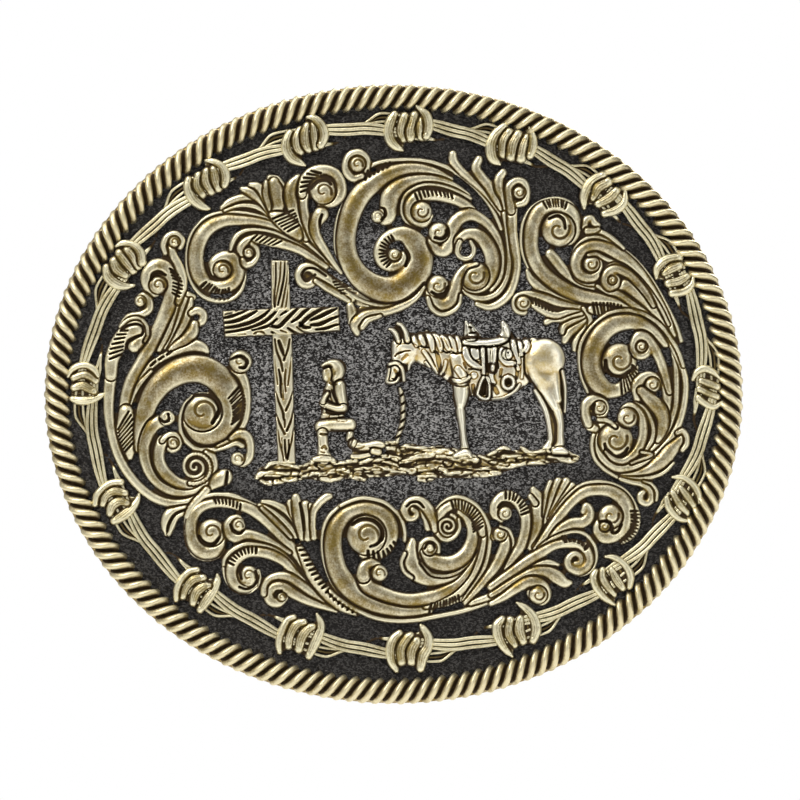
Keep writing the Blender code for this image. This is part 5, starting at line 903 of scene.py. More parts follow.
    def draw(self, lines):
        for line in lines:
            k, body = line[0], line[2:]
            if "|" in body and k in "mdovq":
                head, pts = body.split("|")
                num = [float(x) for x in head.split()]
                pts = parse(pts)
            if k == "m":
                p = smooth_path(pts)
                self.stroke(p, moat=0, edge=0.32, keep=1.0, blend=0.07,
                            tops=np.full(len(p), num[0]))
            elif k == "d":
                p = smooth_path(pts)
                self.stroke(p, moat=num[2], edge=num[1], keep=0.9,
                            tops=np.full(len(p), num[0]))
            elif k == "o":
                self.overlay(smooth_path(pts), num[0], num[1])
            elif k == "v":
                self.cut(smooth_path(pts, 0.5), num[0])
            elif k == "q":
                self.board(pts, num[0])
            elif k == "s":
                p = smooth_path(parse(body))
                p[:, 2] = p[:, 2] * 1.05 + 0.25
                self.stroke(p, moat=1.1)
            elif k == "r":
                self.stroke(smooth_path(parse(body)), moat=1.3, power=0.6)
            elif k == "b":
                u, v, r = parse(body)[0]
                r = r * 1.32 if r >= 3 else r * 1.12
                self.stroke(np.array([(u, v, r)]), moat=0.9, lift=0.06, power=0.62,
                            tops=np.array([0.70 + 0.045 * r]))
                if r >= 4.5:     # the curl's turn, cut into its eye
                    sense = 1 if u < 394 else -1
                    t = np.linspace(0, 1, 40)
                    a = math.pi * (0.35 + 1.75 * t) * sense
                    q = r * (0.16 + 0.52 * t)
                    self.cut(np.column_stack([u + q * np.cos(a), v + q * np.sin(a),
                                              0.35 + 0.07 * r * (0.5 + 0.5 * t)]), 0.26)
            elif k == "g":
                self.stroke(smooth_path(parse(body)), moat=0, edge=0.2,
                            tops=np.full(4000, 0.42))
            elif k == "c":
                self.cut(smooth_path(parse(body)))
            elif k == "p":
                a = body.split()
                cu, cv = (float(x) for x in a[0].split(","))
                r, turns, w, sense = (float(x) for x in a[1:])
                self.stroke(coil(cu, cv, r, turns, w * 0.62, sense), moat=1.4)
            elif k == "k":
                left, right = body.split("|")
                a = left.split()
                pa = [tuple(float(x) for x in p.split(",")) for p in a[2:]]
                pb = [tuple(float(x) for x in p.split(",")) for p in right.split()]
                self.comb(int(a[0]), float(a[1]), pa, pb)


# ------------------------------------------------------------ mesh makers
def place(u, v, h):
    """Sheet position and height in mm, as points in the buckle's frame."""
    x = (u - SHEET_U) * UNIT
    z = (SHEET_V - v) * UNIT
    return x, BOW * x * x - PLATE_T - h * 0.001, z


def new_object(name, me):
    ob = bpy.data.objects.new(name, me)
    bpy.context.scene.collection.objects.link(ob)
    return ob


def mesh_from(name, verts, faces, smooth=True):
    me = bpy.data.meshes.new(name)
    verts = np.asarray(verts, np.float32)
    faces = np.asarray(faces, np.int32)
    me.vertices.add(len(verts))
    me.vertices.foreach_set("co", verts.ravel())
    k = faces.shape[1]
    me.loops.add(faces.size)
    me.loops.foreach_set("vertex_index", faces.ravel())
    me.polygons.add(len(faces))
    me.polygons.foreach_set("loop_start", np.arange(0, faces.size, k, dtype=np.int32))
    me.polygons.foreach_set("use_smooth", np.full(len(faces), smooth))
    me.update(calc_edges=True)
    me.validate()
    return me


def paint(me, tone):
    a = me.attributes.new("tone", "FLOAT_COLOR", "POINT")
    t = np.ones((len(me.vertices), 4), np.float32)
    t[:, :3] = np.asarray(tone, np.float32)[:len(me.vertices)]
    a.data.foreach_set("color", t.ravel())


def tones(h, step):
    """Exposure, ridge and height of each grid point, 0 to 1."""
    k = max(1, int(round(3.2 / step)))
    metal = h > 0.05
    top = spread(np.where(metal, h, 0.2), k)
    expo = np.clip((h - 0.06) / np.maximum(top - 0.06, 0.3), 0, 1)
    expo = np.minimum(expo, np.clip(1 - (top - h - 0.10) / 0.55, 0, 1))
    soft = blur(h, 1.6 / step)
    ridge = np.clip(0.5 + (h - soft) * 2.4, 0, 1)
    wide = blur(h, 5.0 / step)
    high = np.clip(0.5 + (h - wide) * 0.8, 0, 1)
    return np.stack([expo, ridge, high], axis=-1)


def relief_object(name, relief, soften=0.75, floor=FLOOR, base_y=None):
    """Mesh the metal of a height field as one closed shell."""
    h = blur(relief.h, soften) if soften else relief.h.copy()
    h = np.maximum(h, floor)
    tone = tones(h, relief.step)
    hot = h > floor + 0.03
    cell = hot[:-1, :-1] | hot[1:, :-1] | hot[:-1, 1:] | hot[1:, 1:]
    cell[0] = cell[-1] = False
    cell[:, 0] = cell[:, -1] = False
    for _ in range(3):       # no two cells may touch by a corner alone
        a, b, c, d = cell[:-1, :-1], cell[1:, 1:], cell[1:, :-1], cell[:-1, 1:]
        x = (a & b & ~c & ~d) | (c & d & ~a & ~b)
        if not x.any():
            break
        cell[:-1, :-1] |= x; cell[1:, 1:] |= x
        cell[1:, :-1] |= x; cell[:-1, 1:] |= x
    used = np.zeros(h.shape, bool)
    used[:-1, :-1] |= cell; used[1:, :-1] |= cell
    used[:-1, 1:] |= cell; used[1:, 1:] |= cell
    # rim points sink to the floor
    full = np.zeros(h.shape, int)
    full[:-1, :-1] += cell; full[1:, :-1] += cell
    full[:-1, 1:] += cell; full[1:, 1:] += cell
    rim = used & (full < 4)
    h = np.where(rim, floor, h)
    idx = np.full(h.shape, -1, int)
    idx[used] = np.arange(used.sum())
    js, is_ = np.nonzero(used)
    u, v = relief.us[is_], relief.vs[js]
    hh = h[used]
    cj, ci = np.nonzero(cell)
    quads = np.stack([idx[cj, ci], idx[cj, ci + 1], idx[cj + 1, ci + 1],
                      idx[cj + 1, ci]], axis=1)[:, ::-1]
    flat = np.stack([(u - SHEET_U) * UNIT, np.zeros_like(u), (SHEET_V - v) * UNIT], 1)
    me = mesh_from(name, flat, quads)
    bm = bmesh.new()
    bm.from_mesh(me)
    edges = [e for e in bm.edges if len(e.link_faces) == 1]
    n0 = len(bm.faces)
    bmesh.ops.triangle_fill(bm, use_beauty=False, use_dissolve=False,
                            edges=edges, normal=Vector((0, 1, 0)))
    bm.faces.ensure_lookup_table()
    wrong = [f for f in bm.faces[n0:] if f.normal.y < 0]
    if wrong:
        bmesh.ops.reverse_faces(bm, faces=wrong)
    bm.verts.ensure_lookup_table()
    bm.to_mesh(me)
    bm.free()
    x, y, z = place(u, v, hh)
    co = np.stack([x, y, z], 1).astype(np.float32)
    me.vertices.foreach_set("co", co.ravel())
    me.update()
    paint(me, tone[used])
    return new_object(name, me)


def window_of(text, margin=5):
    us, vs = [], []
    for line in text.strip().splitlines():
        k, body = line[0], line[2:]
        if k in "mdovq":
            body = body.split("|")[1]
            if k == "q":
                for u, v, r in parse(body):
                    us.append(u)
                    vs.append(v)
                continue
        if k in "srbgmdov":
            for u, v, r in parse(body):
                us += [u - r, u + r]
                vs += [v - r, v + r]
        elif k == "p":
            a = body.split()
            cu, cv = (float(x) for x in a[0].split(","))
            r = float(a[1]) + 5
            us += [cu - r, cu + r]
            vs += [cv - r, cv + r]
    return min(us) - margin, min(vs) - margin, max(us) + margin, max(vs) + margin


def tube(path, side, up, radius, segs, closed=True, shape=None):
    """Sweep a section along path; side and up span each section."""
    n = len(path)
    th = np.linspace(0, 2 * np.pi, segs, endpoint=False)
    rad = np.broadcast_to(np.asarray(radius, float).reshape(-1, 1), (n, segs)) \
        if shape is None else shape
    co = (path[:, None, :] + side[:, None, :] * (rad * np.cos(th))[..., None]
          + up[:, None, :] * (rad * np.sin(th))[..., None])
    m = n if closed else n - 1
    i = np.arange(m)[:, None]
    j = np.arange(segs)[None, :]
    a = i * segs + j
    b = i * segs + (j + 1) % segs
    c = ((i + 1) % n) * segs + (j + 1) % segs
    d = ((i + 1) % n) * segs + j
    quads = np.stack(np.broadcast_arrays(a, b, c, d), -1).reshape(-1, 4)
    return co.reshape(-1, 3), quads


def close_out(me):
    """Close open ends and turn every face outward."""
    bm = bmesh.new()
    bm.from_mesh(me)
    loose = [e for e in bm.edges if len(e.link_faces) == 1]
    if loose:
        bmesh.ops.holes_fill(bm, edges=loose, sides=0)
    bmesh.ops.recalc_face_normals(bm, faces=bm.faces[:])
    bm.to_mesh(me)
    bm.free()
    me.update()


# ------------------------------------------------------------ materials
def nodes_of(name):
    m = bpy.data.materials.new(name)
    m.use_nodes = True
    nt = m.node_tree
    nt.nodes.clear()
    out = nt.nodes.new("ShaderNodeOutputMaterial")
    bs = nt.nodes.new("ShaderNodeBsdfPrincipled")
    nt.links.new(bs.outputs[0], out.inputs[0])
    return m, nt, bs


def noise(nt, coord, scale, detail=3.0, rough=0.55):
    n = nt.nodes.new("ShaderNodeTexNoise")
    n.inputs["Scale"].default_value = scale
    n.inputs["Detail"].default_value = detail
    n.inputs["Roughness"].default_value = rough
    nt.links.new(coord, n.inputs["Vector"])
    return n.outputs["Fac"]


def ramp(nt, fac, stops, ease_kind="LINEAR"):
    r = nt.nodes.new("ShaderNodeValToRGB")
    r.color_ramp.interpolation = ease_kind
    e = r.color_ramp.elements
    while len(e) < len(stops):
        e.new(0.5)
    for el, (p, c) in zip(e, stops):
        el.position = p
        el.color = (c, c, c, 1) if isinstance(c, (int, float)) else (*c, 1)
    nt.links.new(fac, r.inputs[0])
    return r.outputs[0]


def math_node(nt, op, a, b=None, clamp=False):
    n = nt.nodes.new("ShaderNodeMath")
    n.operation = op
    n.use_clamp = clamp
    for i, x in enumerate((a, b)):
        if x is None:
            continue
        if isinstance(x, (int, float)):
            n.inputs[i].default_value = x
        else:
            nt.links.new(x, n.inputs[i])
    return n.outputs[0]


def mix_colour(nt, fac, a, b, kind="MIX"):
    n = nt.nodes.new("ShaderNodeMix")
    n.data_type = "RGBA"
    n.blend_type = kind
    for key, x in (("Factor", fac), ("A", a), ("B", b)):
        sock = [s for s in n.inputs if s.name == key and s.type ==
                ("VALUE" if key == "Factor" else "RGBA")][0]
        if isinstance(x, (int, float)):
            sock.default_value = x
        elif isinstance(x, tuple):
            sock.default_value = (*x, 1)
        else:
            nt.links.new(x, sock)
    return [s for s in n.outputs if s.type == "RGBA"][0]


def bumps(nt, bs, layers):
    """layers: (height socket, strength, distance in metres)."""
    last = None
    for height, strength, dist in layers:
        b = nt.nodes.new("ShaderNodeBump")
        b.inputs["Strength"].default_value = strength
        b.inputs["Distance"].default_value = dist
        nt.links.new(height, b.inputs["Height"])
        if last is not None:
            nt.links.new(last, b.inputs["Normal"])
        last = b.outputs[0]
    nt.links.new(last, bs.inputs["Normal"])


def srgb(r, g, b):
    return tuple(((c / 255) / 12.92 if c / 255 <= 0.04045
                  else ((c / 255 + 0.055) / 1.055) ** 2.4) for c in (r, g, b))


BLACK = srgb(56, 40, 16)


def antique(name, gold, pale, brown, rough=0.36, edge=(0.30, 0.62), worn=0.62,
            grit=1.0, metal=1.0):
    """Blackened, rubbed-back metal: dark where the relief is sheltered, the body
    colour on the flanks, pale on ridges and dome tops as wear and painted highlight."""
    m, nt, bs = nodes_of(name)
    tc = nt.nodes.new("ShaderNodeTexCoord")
    co = tc.outputs["Object"]
    at = nt.nodes.new("ShaderNodeAttribute")
    at.attribute_name = "tone"
    sp = nt.nodes.new("ShaderNodeSeparateColor")
    nt.links.new(at.outputs["Color"], sp.inputs[0])
    expo, ridge, high = sp.outputs[0], sp.outputs[1], sp.outputs[2]
    blot = noise(nt, co, 420, 4, 0.6)
    speck = noise(nt, co, 3800, 3, 0.65)
    grime = noise(nt, co, 1500, 4, 0.7)
    shelter = math_node(nt, "ADD", expo, math_node(
        nt, "MULTIPLY", math_node(nt, "SUBTRACT", grime, 0.5), 0.34 * grit))
    mask = ramp(nt, shelter, [(edge[0], 0.0), (edge[1], 1.0)], "EASE")
    # the pale mix on ridges and dome tops is partly rubbed wear and partly a painted highlight
    wear_and_highlight = math_node(nt, "ADD", math_node(nt, "MULTIPLY", ridge, 0.75),
                     math_node(nt, "MULTIPLY", high, 0.45))
    wear_and_highlight = math_node(nt, "ADD", wear_and_highlight, math_node(
        nt, "MULTIPLY", math_node(nt, "SUBTRACT", blot, 0.5), 0.55))
    wear_and_highlight = math_node(nt, "ADD", wear_and_highlight, math_node(
        nt, "MULTIPLY", math_node(nt, "SUBTRACT", speck, 0.5), 0.35 * grit))
    pale_mask = ramp(nt, wear_and_highlight, [(worn - 0.17, 0.0), (worn + 0.2, 1.0)], "EASE")
    body = mix_colour(nt, ramp(nt, blot, [(0.38, 0.0), (0.66, 1.0)]), gold, brown)
    col = mix_colour(nt, pale_mask, body, pale)
    col = mix_colour(nt, mask, BLACK, col)
    nt.links.new(col, bs.inputs["Base Color"])
    bs.inputs["Specular IOR Level"].default_value = 0.25
    met = math_node(nt, "ADD", math_node(nt, "MULTIPLY", mask, 0.85 * metal), 0.1)
    nt.links.new(met, bs.inputs["Metallic"])
    ro = math_node(nt, "SUBTRACT", 0.62, math_node(nt, "MULTIPLY", mask, 0.62 - rough))
    ro = math_node(nt, "ADD", ro, math_node(
        nt, "MULTIPLY", math_node(nt, "SUBTRACT", grime, 0.5), 0.22))
    nt.links.new(ro, bs.inputs["Roughness"])
    pits = noise(nt, co, 5200, 2, 0.6)
    bumps(nt, bs, [(pits, 0.35 * grit, 0.00006), (grime, 0.30 * grit, 0.00012)])
    return m


def wrought(name, base, dark, rough=0.32, satin=0.0, tint=(0.5, 0.5, 0.5)):
    """Plain cast and tumbled metal for the back, with scratches."""
    m, nt, bs = nodes_of(name)
    tc = nt.nodes.new("ShaderNodeTexCoord")
    co = tc.outputs["Object"]
    blot = noise(nt, co, 160, 4, 0.6)
    grain = noise(nt, co, 2600, 3, 0.6)
    mp = nt.nodes.new("ShaderNodeMapping")
    mp.inputs["Scale"].default_value = (180, 180, 5200)
    mp.inputs["Rotation"].default_value = (0, 0.35, 0)
    nt.links.new(co, mp.inputs[0])
    scr = noise(nt, mp.outputs[0], 1.0, 3, 0.7)
    col = mix_colour(nt, ramp(nt, blot, [(0.35, 0.0), (0.7, 1.0)]), base, dark)
    col = mix_colour(nt, ramp(nt, scr, [(0.55, 0.0), (0.8, 0.35)]), col, tint)
    nt.links.new(col, bs.inputs["Base Color"])
    bs.inputs["Metallic"].default_value = 1.0
    ro = math_node(nt, "ADD", math_node(nt, "MULTIPLY", blot, 0.22), rough - 0.1)
    ro = math_node(nt, "ADD", ro, math_node(nt, "MULTIPLY", scr, 0.12 + satin))
    nt.links.new(ro, bs.inputs["Roughness"])
    bumps(nt, bs, [(scr, 0.25, 0.00004), (grain, 0.35, 0.00005)])
    return m


# ------------------------------------------------------------ materials used
BRASS = antique("scroll_brass", srgb(136, 116, 60), srgb(232, 224, 192), srgb(98, 72, 30),
                edge=(0.30, 0.78), worn=0.73)
SCENE = antique("scene_brass", srgb(166, 148, 96), srgb(240, 232, 202), srgb(138, 112, 62),
                edge=(0.26, 0.62), worn=0.74)
HORSE = antique("horse_gold", srgb(206, 182, 116), srgb(254, 248, 224), srgb(146, 108, 48),
                rough=0.33, edge=(0.16, 0.54), worn=0.63, grit=0.8)
SADDLE = antique("saddle_nickel", srgb(176, 168, 130), srgb(248, 244, 226), srgb(150, 132, 80),
                 rough=0.30, edge=(0.12, 0.48), worn=0.60, grit=0.55)
WIRE = antique("wire_brass", srgb(146, 130, 80), srgb(232, 224, 190), srgb(118, 96, 50),
               edge=(0.24, 0.62), worn=0.76)
ROPE = antique("rope_brass", srgb(140, 118, 62), srgb(224, 212, 174), srgb(116, 86, 38),
               rough=0.40, edge=(0.42, 0.86), worn=0.64)
STEEL = wrought("hardware", srgb(196, 176, 128), srgb(150, 128, 84))


def hardware(node, width, body="buckle", segments=3):
    """A copy of a plain back fitting with its hard edges rounded over."""
    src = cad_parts[node]
    me = src.data.copy()
    me.name = node + "_detail"
    me.transform(src.matrix_world)
    me.materials.clear()
    bm = bmesh.new()
    bm.from_mesh(me)
    bmesh.ops.remove_doubles(bm, verts=bm.verts, dist=1e-6)
    bmesh.ops.dissolve_limit(bm, angle_limit=math.radians(1.5), verts=bm.verts,
                             edges=bm.edges)
    sharp = [e for e in bm.edges if len(e.link_faces) == 2
             and e.calc_face_angle(0.0) > math.radians(38)]
    bmesh.ops.bevel(bm, geom=sharp, offset=width, offset_type="OFFSET", segments=segments,
                    profile=0.5, affect="EDGES", clamp_overlap=True)
    bmesh.ops.triangulate(bm, faces=[f for f in bm.faces if len(f.verts) > 4])
    bmesh.ops.recalc_face_normals(bm, faces=bm.faces[:])
    for f in bm.faces:
        f.smooth = True
    for e in bm.edges:
        if len(e.link_faces) == 2 and e.calc_face_angle(0.0) > math.radians(32):
            e.smooth = False
    bm.to_mesh(me)
    bm.free()
    ob = new_object(node + "_detail", me)
    return dress(ob, STEEL, "hardware", body, node)


def ground_material():
    """Blackened leather-grain ground with a painted cool sheen on its bump tops."""
    m, nt, bs = nodes_of("blackened_ground")
    tc = nt.nodes.new("ShaderNodeTexCoord")
    co = tc.outputs["Object"]
    at = nt.nodes.new("ShaderNodeAttribute")
    at.attribute_name = "tone"
    sp = nt.nodes.new("ShaderNodeSeparateColor")
    nt.links.new(at.outputs["Color"], sp.inputs[0])
    grain, sheen_middle, back = sp.outputs[0], sp.outputs[1], sp.outputs[2]
    squash = nt.nodes.new("ShaderNodeMapping")
    squash.inputs["Scale"].default_value = (0.62, 1.0, 1.0)
    nt.links.new(co, squash.inputs[0])
    fine = noise(nt, squash.outputs[0], 6800, 1, 0.5)
    mid = noise(nt, squash.outputs[0], 4500, 1, 0.5)
    blot = noise(nt, co, 300, 3, 0.5)
    lift = math_node(nt, "ADD", math_node(nt, "MULTIPLY", grain, 0.40), math_node(
        nt, "ADD", math_node(nt, "MULTIPLY", math_node(nt, "SUBTRACT", fine, 0.5), 1.9),
        math_node(nt, "MULTIPLY", math_node(nt, "SUBTRACT", mid, 0.5), 1.5)))
    # the grain's raised tops are painted a light grey sheen over near-black hollows: a painted highlight
    g = ramp(nt, lift, [(0.06, 0.0), (0.56, 1.0)], "EASE")
    # the painted grey sheen is brighter towards the open middle of the ground
    lit = mix_colour(nt, sheen_middle, srgb(52, 49, 46), srgb(160, 158, 156))
    dark = mix_colour(nt, g, srgb(26, 23, 21), lit)
    rear = mix_colour(nt, ramp(nt, blot, [(0.35, 0.0), (0.65, 1.0)]),
                      srgb(176, 156, 108), srgb(140, 120, 76))
    col = mix_colour(nt, back, dark, rear)
    nt.links.new(col, bs.inputs["Base Color"])
    met = math_node(nt, "ADD", 0.70, math_node(nt, "MULTIPLY", back, 0.3), True)
    nt.links.new(met, bs.inputs["Metallic"])
    ro = math_node(nt, "SUBTRACT", 0.52, math_node(nt, "MULTIPLY", g, 0.16))
    ro = math_node(nt, "SUBTRACT", ro, math_node(nt, "MULTIPLY", back, 0.08))
    nt.links.new(ro, bs.inputs["Roughness"])
    bumps(nt, bs, [(mid, 0.6, 0.00016), (fine, 0.7, 0.00010)])
    return m


GROUND = ground_material()


def dress(ob, mat, slot, body, *nodes):
    ob.data.materials.clear()
    ob.data.materials.append(mat)
    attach(ob, body)
    if nodes:
        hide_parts(*nodes)
    return ob


# ------------------------------------------------------------ base plate
def base_plate():
    """Oval plate with a stippled front and a plain satin back."""
    a = HALF_W - 2 * ROPE_R + 0.0007
    b = HALF_H - 2 * ROPE_R + 0.0007
    nu, nv = 560, 490
    g, k = np.meshgrid(np.linspace(-1, 1, nu), np.linspace(-1, 1, nv))
    x = a * g * np.sqrt(1 - k * k / 2)
    z = b * k * np.sqrt(1 - g * g / 2)
    u, v = x / UNIT, z / UNIT
    bend = 1.6 * noise2(u, v, 9.0, 11)
    lean = v + 0.35 * u
    grain = 0.80 * noise2(u * 0.8, lean + bend, 1.8, 3) + 0.45 * noise2(u * 0.8, lean - bend, 2.9, 5)
    grain = np.clip(1.25 * grain, -0.95, 0.95)
    rim = np.maximum(np.abs(g), np.abs(k))
    fade = ease(1 - rim, 0.0, 0.02)
    y = BOW * x * x - PLATE_T - 0.00009 * grain * fade
    front = np.stack([x, y, z], -1).reshape(-1, 3)
    idx = np.arange(nu * nv).reshape(nv, nu)
    q = np.stack([idx[:-1, :-1], idx[:-1, 1:], idx[1:, 1:], idx[1:, :-1]], -1).reshape(-1, 4)
    ring = np.concatenate([idx[0, :-1], idx[:-1, -1], idx[-1, :0:-1], idx[:0:-1, 0]])
    verts = [front]
    faces = [q]
    n = len(ring)
    rx, rz = front[ring, 0], front[ring, 2]
    last = ring
    count = nu * nv
    # bevelled edge, then the back in shrinking rings
    for s, off in ((1.0, -0.0016), (1.0, -0.0003), (0.997, -0.0001), (0.99, 0.0),
                   (0.9, 0.0), (0.75, 0.0), (0.58, 0.0), (0.40, 0.0), (0.22, 0.0),
                   (0.08, 0.0)):
        px, pz = rx * s, rz * s
        py = BOW * px * px + off
        verts.append(np.stack([px, py, pz], 1))
        new = count + np.arange(n)
        count += n
        nx = np.roll(np.arange(n), -1)
        faces.append(np.stack([last, new, new[nx], last[nx]], 1))
        last = new
    me = mesh_from("base_plate_detail", np.vstack(verts), np.vstack(faces))
    bm = bmesh.new()
    bm.from_mesh(me)
    loose = [e for e in bm.edges if len(e.link_faces) == 1]
    bmesh.ops.holes_fill(bm, edges=loose, sides=0)
    bmesh.ops.recalc_face_normals(bm, faces=bm.faces[:])
    bm.to_mesh(me)
    bm.free()
    t = np.zeros((len(me.vertices), 3), np.float32)
    t[:nu * nv, 0] = (0.5 + 0.6 * grain).reshape(-1)
    # the painted grey sheen on the grain is strongest in the open middle of the ground and fades outward
    sheen_spread = np.hypot((u - 10) / 215, (v - 28) / 130)
    t[:nu * nv, 1] = (1 - 0.92 * ease(sheen_spread, 0.7, 1.4)).reshape(-1)
    t[nu * nv + n:, 2] = 1.0
    paint(me, t)
    return dress(new_object("base_plate_detail", me), GROUND, "blackened_ground",
                 "buckle", "base_plate")


# ------------------------------------------------------------ oval paths
def oval(a, b, n, cx=0.0, cz=0.0):
    """n points at even spacing round an oval, with outward normals."""
    t = np.linspace(0, 2 * np.pi, 8001)
    s = np.concatenate([[0], np.cumsum(np.hypot(np.diff(a * np.cos(t)),
                                                np.diff(b * np.sin(t))))])
    tt = np.interp(np.linspace(0, s[-1], n, endpoint=False), s, t)
    x, z = cx + a * np.cos(tt), cz + b * np.sin(tt)
    nx, nz = np.cos(tt) / a, np.sin(tt) / b
    m = np.hypot(nx, nz)
    return x, z, nx / m, nz / m, s[-1], tt


def rope_edge():
    """Three-strand twisted rope with its strand grooves cut right down."""
    a, b = HALF_W - ROPE_R, HALF_H - ROPE_R
    lobes = 158
    per, segs = 12, 42
    n = lobes * per
    x, z, nx, nz, length, tt = oval(a, b, n)
    path = np.stack([x, BOW * x * x + ROPE_Y, z], 1)
    side = np.stack([nx, 2 * BOW * x * nx, nz], 1)
    side /= np.linalg.norm(side, axis=1)[:, None]
    up = np.tile([0.0, -1.0, 0.0], (n, 1))
    th = np.linspace(0, 2 * np.pi, segs, endpoint=False)
    s = -np.arange(n) / n * lobes * 2 * np.pi / 3    # phase of the lay
    rs = ROPE_R / 2.1547
    rho = rs * 1.1547
    ph = th[None, :] + s[:, None]
    d = (ph * 3 / (2 * np.pi) + 0.5) % 1.0 - 0.5     # -0.5..0.5 over a strand
    dl = d * 2 * np.pi / 3
    rad = rho * np.cos(dl) + np.sqrt(np.maximum(rs ** 2 - (rho * np.sin(dl)) ** 2, 0))
    worn = 1 - 0.025 * noise2(np.arange(n)[:, None] * 1.0 + 0 * th, th[None, :] * 9 +
                              np.zeros((n, 1)), 7.0, 17)
    rad = rad * worn
    co, quads = tube(path, side, up, None, segs, True, rad)
    me = mesh_from("rope_edge_detail", co, quads)
    close_out(me)
    depth = np.clip(1 - np.abs(d) * 2, 0, 1)
    expo = ease(depth, 0.10, 0.62)
    # the front of each strand is painted paler, partly rubbed wear and partly a painted highlight
    front_wear_and_sheen = 0.5 + 0.5 * np.sin(th)[None, :] + 0 * d
    t = np.stack([expo, 0.30 + 0.50 * depth, 0.25 + 0.5 * front_wear_and_sheen], -1).reshape(-1, 3)
    paint(me, t)
    return dress(new_object("rope_edge_detail", me), ROPE, "rope_brass", "buckle", "rope_edge")


def rim_band():
    """Plain rounded band that backs the rope, seen from the side."""
    n, segs = 520, 20
    half = 0.00062
    a, b = HALF_W - 0.0009, HALF_H - 0.0009
    x, z, nx, nz, length, tt = oval(a, b, n)
    path = np.stack([x, BOW * x * x - 0.00085, z], 1)
    side = np.stack([nx, 2 * BOW * x * nx, nz], 1)
    side /= np.linalg.norm(side, axis=1)[:, None]
    up = np.tile([0.0, -1.0, 0.0], (n, 1))
    th = np.linspace(0, 2 * np.pi, segs, endpoint=False)
    c, s = np.cos(th), np.sin(th)
    ex = 4.0
    k = (np.abs(c) ** ex / (0.00075 ** ex) + np.abs(s) ** ex / (0.00080 ** ex)) ** (-1 / ex)
    co, quads = tube(path, side, up, None, segs, True, np.tile(k, (n, 1)))
    me = mesh_from("rim_band", co, quads)
    close_out(me)
    paint(me, np.tile([0.9, 0.45, 0.5], (len(co), 1)))
    return dress(new_object("rim_band", me), ROPE, "rope_brass", "buckle")


# ------------------------------------------------------------ wire ring
def wire_ring():
    """Two strands of three fine wires that cross once between barbs."""
    n = 1440
    t = np.linspace(0, 2 * np.pi, n, endpoint=False)
    cx = WIRE_U + WIRE_A * np.cos(t)
    cv = WIRE_V + WIRE_B * np.sin(t)
    nu_, nv_ = np.cos(t) / WIRE_A, np.sin(t) / WIRE_B
    m = np.hypot(nu_, nv_)
    nu_, nv_ = nu_ / m, nv_ / m
    at = np.radians(sorted(BARB_AT))
    at = np.concatenate([at, [at[0] + 2 * np.pi]])
    ang = (t - at[0]) % (2 * np.pi) + at[0]
    k = np.clip(np.searchsorted(at, ang, side="right") - 1, 0, 15)
    tau = (ang - at[k]) / (at[k + 1] - at[k])
    allv, allf, allt = [], [], []
    count = 0
    def along(*knots):
        """Smooth value along a span, from (place, value) knots."""
        kx, ky = np.array(knots).T
        i = np.clip(np.searchsorted(kx, tau, side="right") - 1, 0, len(kx) - 2)
        f = (tau - kx[i]) / (kx[i + 1] - kx[i])
        f = f * f * (3 - 2 * f)
        return ky[i] + (ky[i + 1] - ky[i]) * f

    over = along((0, 6.8), (0.5, 0.4), (1, -6.2))
    splay = along((0, 2.5), (0.38, 4.7), (0.62, 4.5), (1, 2.9))
    over_h = along((0, 0.40), (0.5, 0.60), (1, 0.40))
    under = along((0, -7.0), (0.14, -9.8), (0.27, -10.5), (0.55, 4.5), (0.74, 10.0), (1, 8.0))
    loop = along((0, 3.2), (0.25, 0.2), (0.54, 0.2), (0.74, 4.2), (1, 3.0))
    under_h = along((0, 0.42), (0.21, 0.40), (0.28, -0.15), (0.46, -0.15), (0.60, 0.34),
                    (1, 0.42))
    for strand in (0, 1):
        for w in (-1, 0, 1):
            if strand == 0:      # the strand on top, outer end to inner end
                off = over + w * splay
                h = over_h + (0.07 if w == 0 else 0.0)
                r = 0.21 + 0.03 * np.sin(np.pi * tau)
            else:                # the strand under it, showing as a spike and a loop
                off = under + w * loop
                h = under_h
                r = 0.19
                if w == 0:
                    h = h - 0.30
            # cos jumps sign at each barb, where the wrap hides the joint
            u, v = cx + nu_ * off, cv + nv_ * off
            x, y, z = place(u, v, h)
            P = np.stack([x, y, z], 1)
            # cut into spans so that no tube jumps across a barb
            for s in range(16):
                sel = np.nonzero(k == s)[0]
                order = np.argsort(tau[sel])
                sel = sel[order]
                p = P[sel]
                tan = np.gradient(p, axis=0)
                tan /= np.linalg.norm(tan, axis=1)[:, None]
                up = np.tile([0.0, -1.0, 0.0], (len(p), 1))
                side = np.cross(up, tan)
                side /= np.linalg.norm(side, axis=1)[:, None]
                up = np.cross(tan, side)
                rr = np.asarray(r)[sel] * 0.001 if np.ndim(r) else np.full(len(sel), r * 0.001)
                segs = 10
                co, q = tube(p, side, up, rr, segs, False)
                # end caps as fans
                c0, c1 = len(co), len(co) + 1
                allv.append(np.vstack([co, p[:1], p[-1:]]))
                allf.append(q + count)
                fan = []
                e = (len(p) - 1) * segs
                for j in range(segs):
                    fan.append((c0, (j + 1) % segs, j, j))
                    fan.append((c1, e + j, e + (j + 1) % segs, e + (j + 1) % segs))
                allt.append((count, fan))
                count += len(co) + 2
    verts = np.vstack(allv)
    quads = np.vstack(allf)
    bm = bmesh.new()
    vs = [bm.verts.new(v) for v in verts]
    bm.verts.ensure_lookup_table()
    for q in quads:
        bm.faces.new([vs[i] for i in q])
    for base, fan in allt:
        for f in fan:
            bm.faces.new([vs[base + i] for i in f[:3]])
    bmesh.ops.recalc_face_normals(bm, faces=bm.faces[:])
    for f in bm.faces:
        f.smooth = True
    me = bpy.data.meshes.new("wire_ring_detail")
    bm.to_mesh(me)
    bm.free()
    y = verts[:, 1] - (BOW * verts[:, 0] ** 2 - PLATE_T)
    hmm = -y * 1000
    expo = np.clip((hmm - 0.05) / 0.5, 0, 1)
    paint(me, np.stack([expo, 0.25 + 0.6 * expo, 0.5 + 0 * expo], 1))
    return dress(new_object("wire_ring_detail", me), WIRE, "wire_brass", "buckle", "wire_ring")


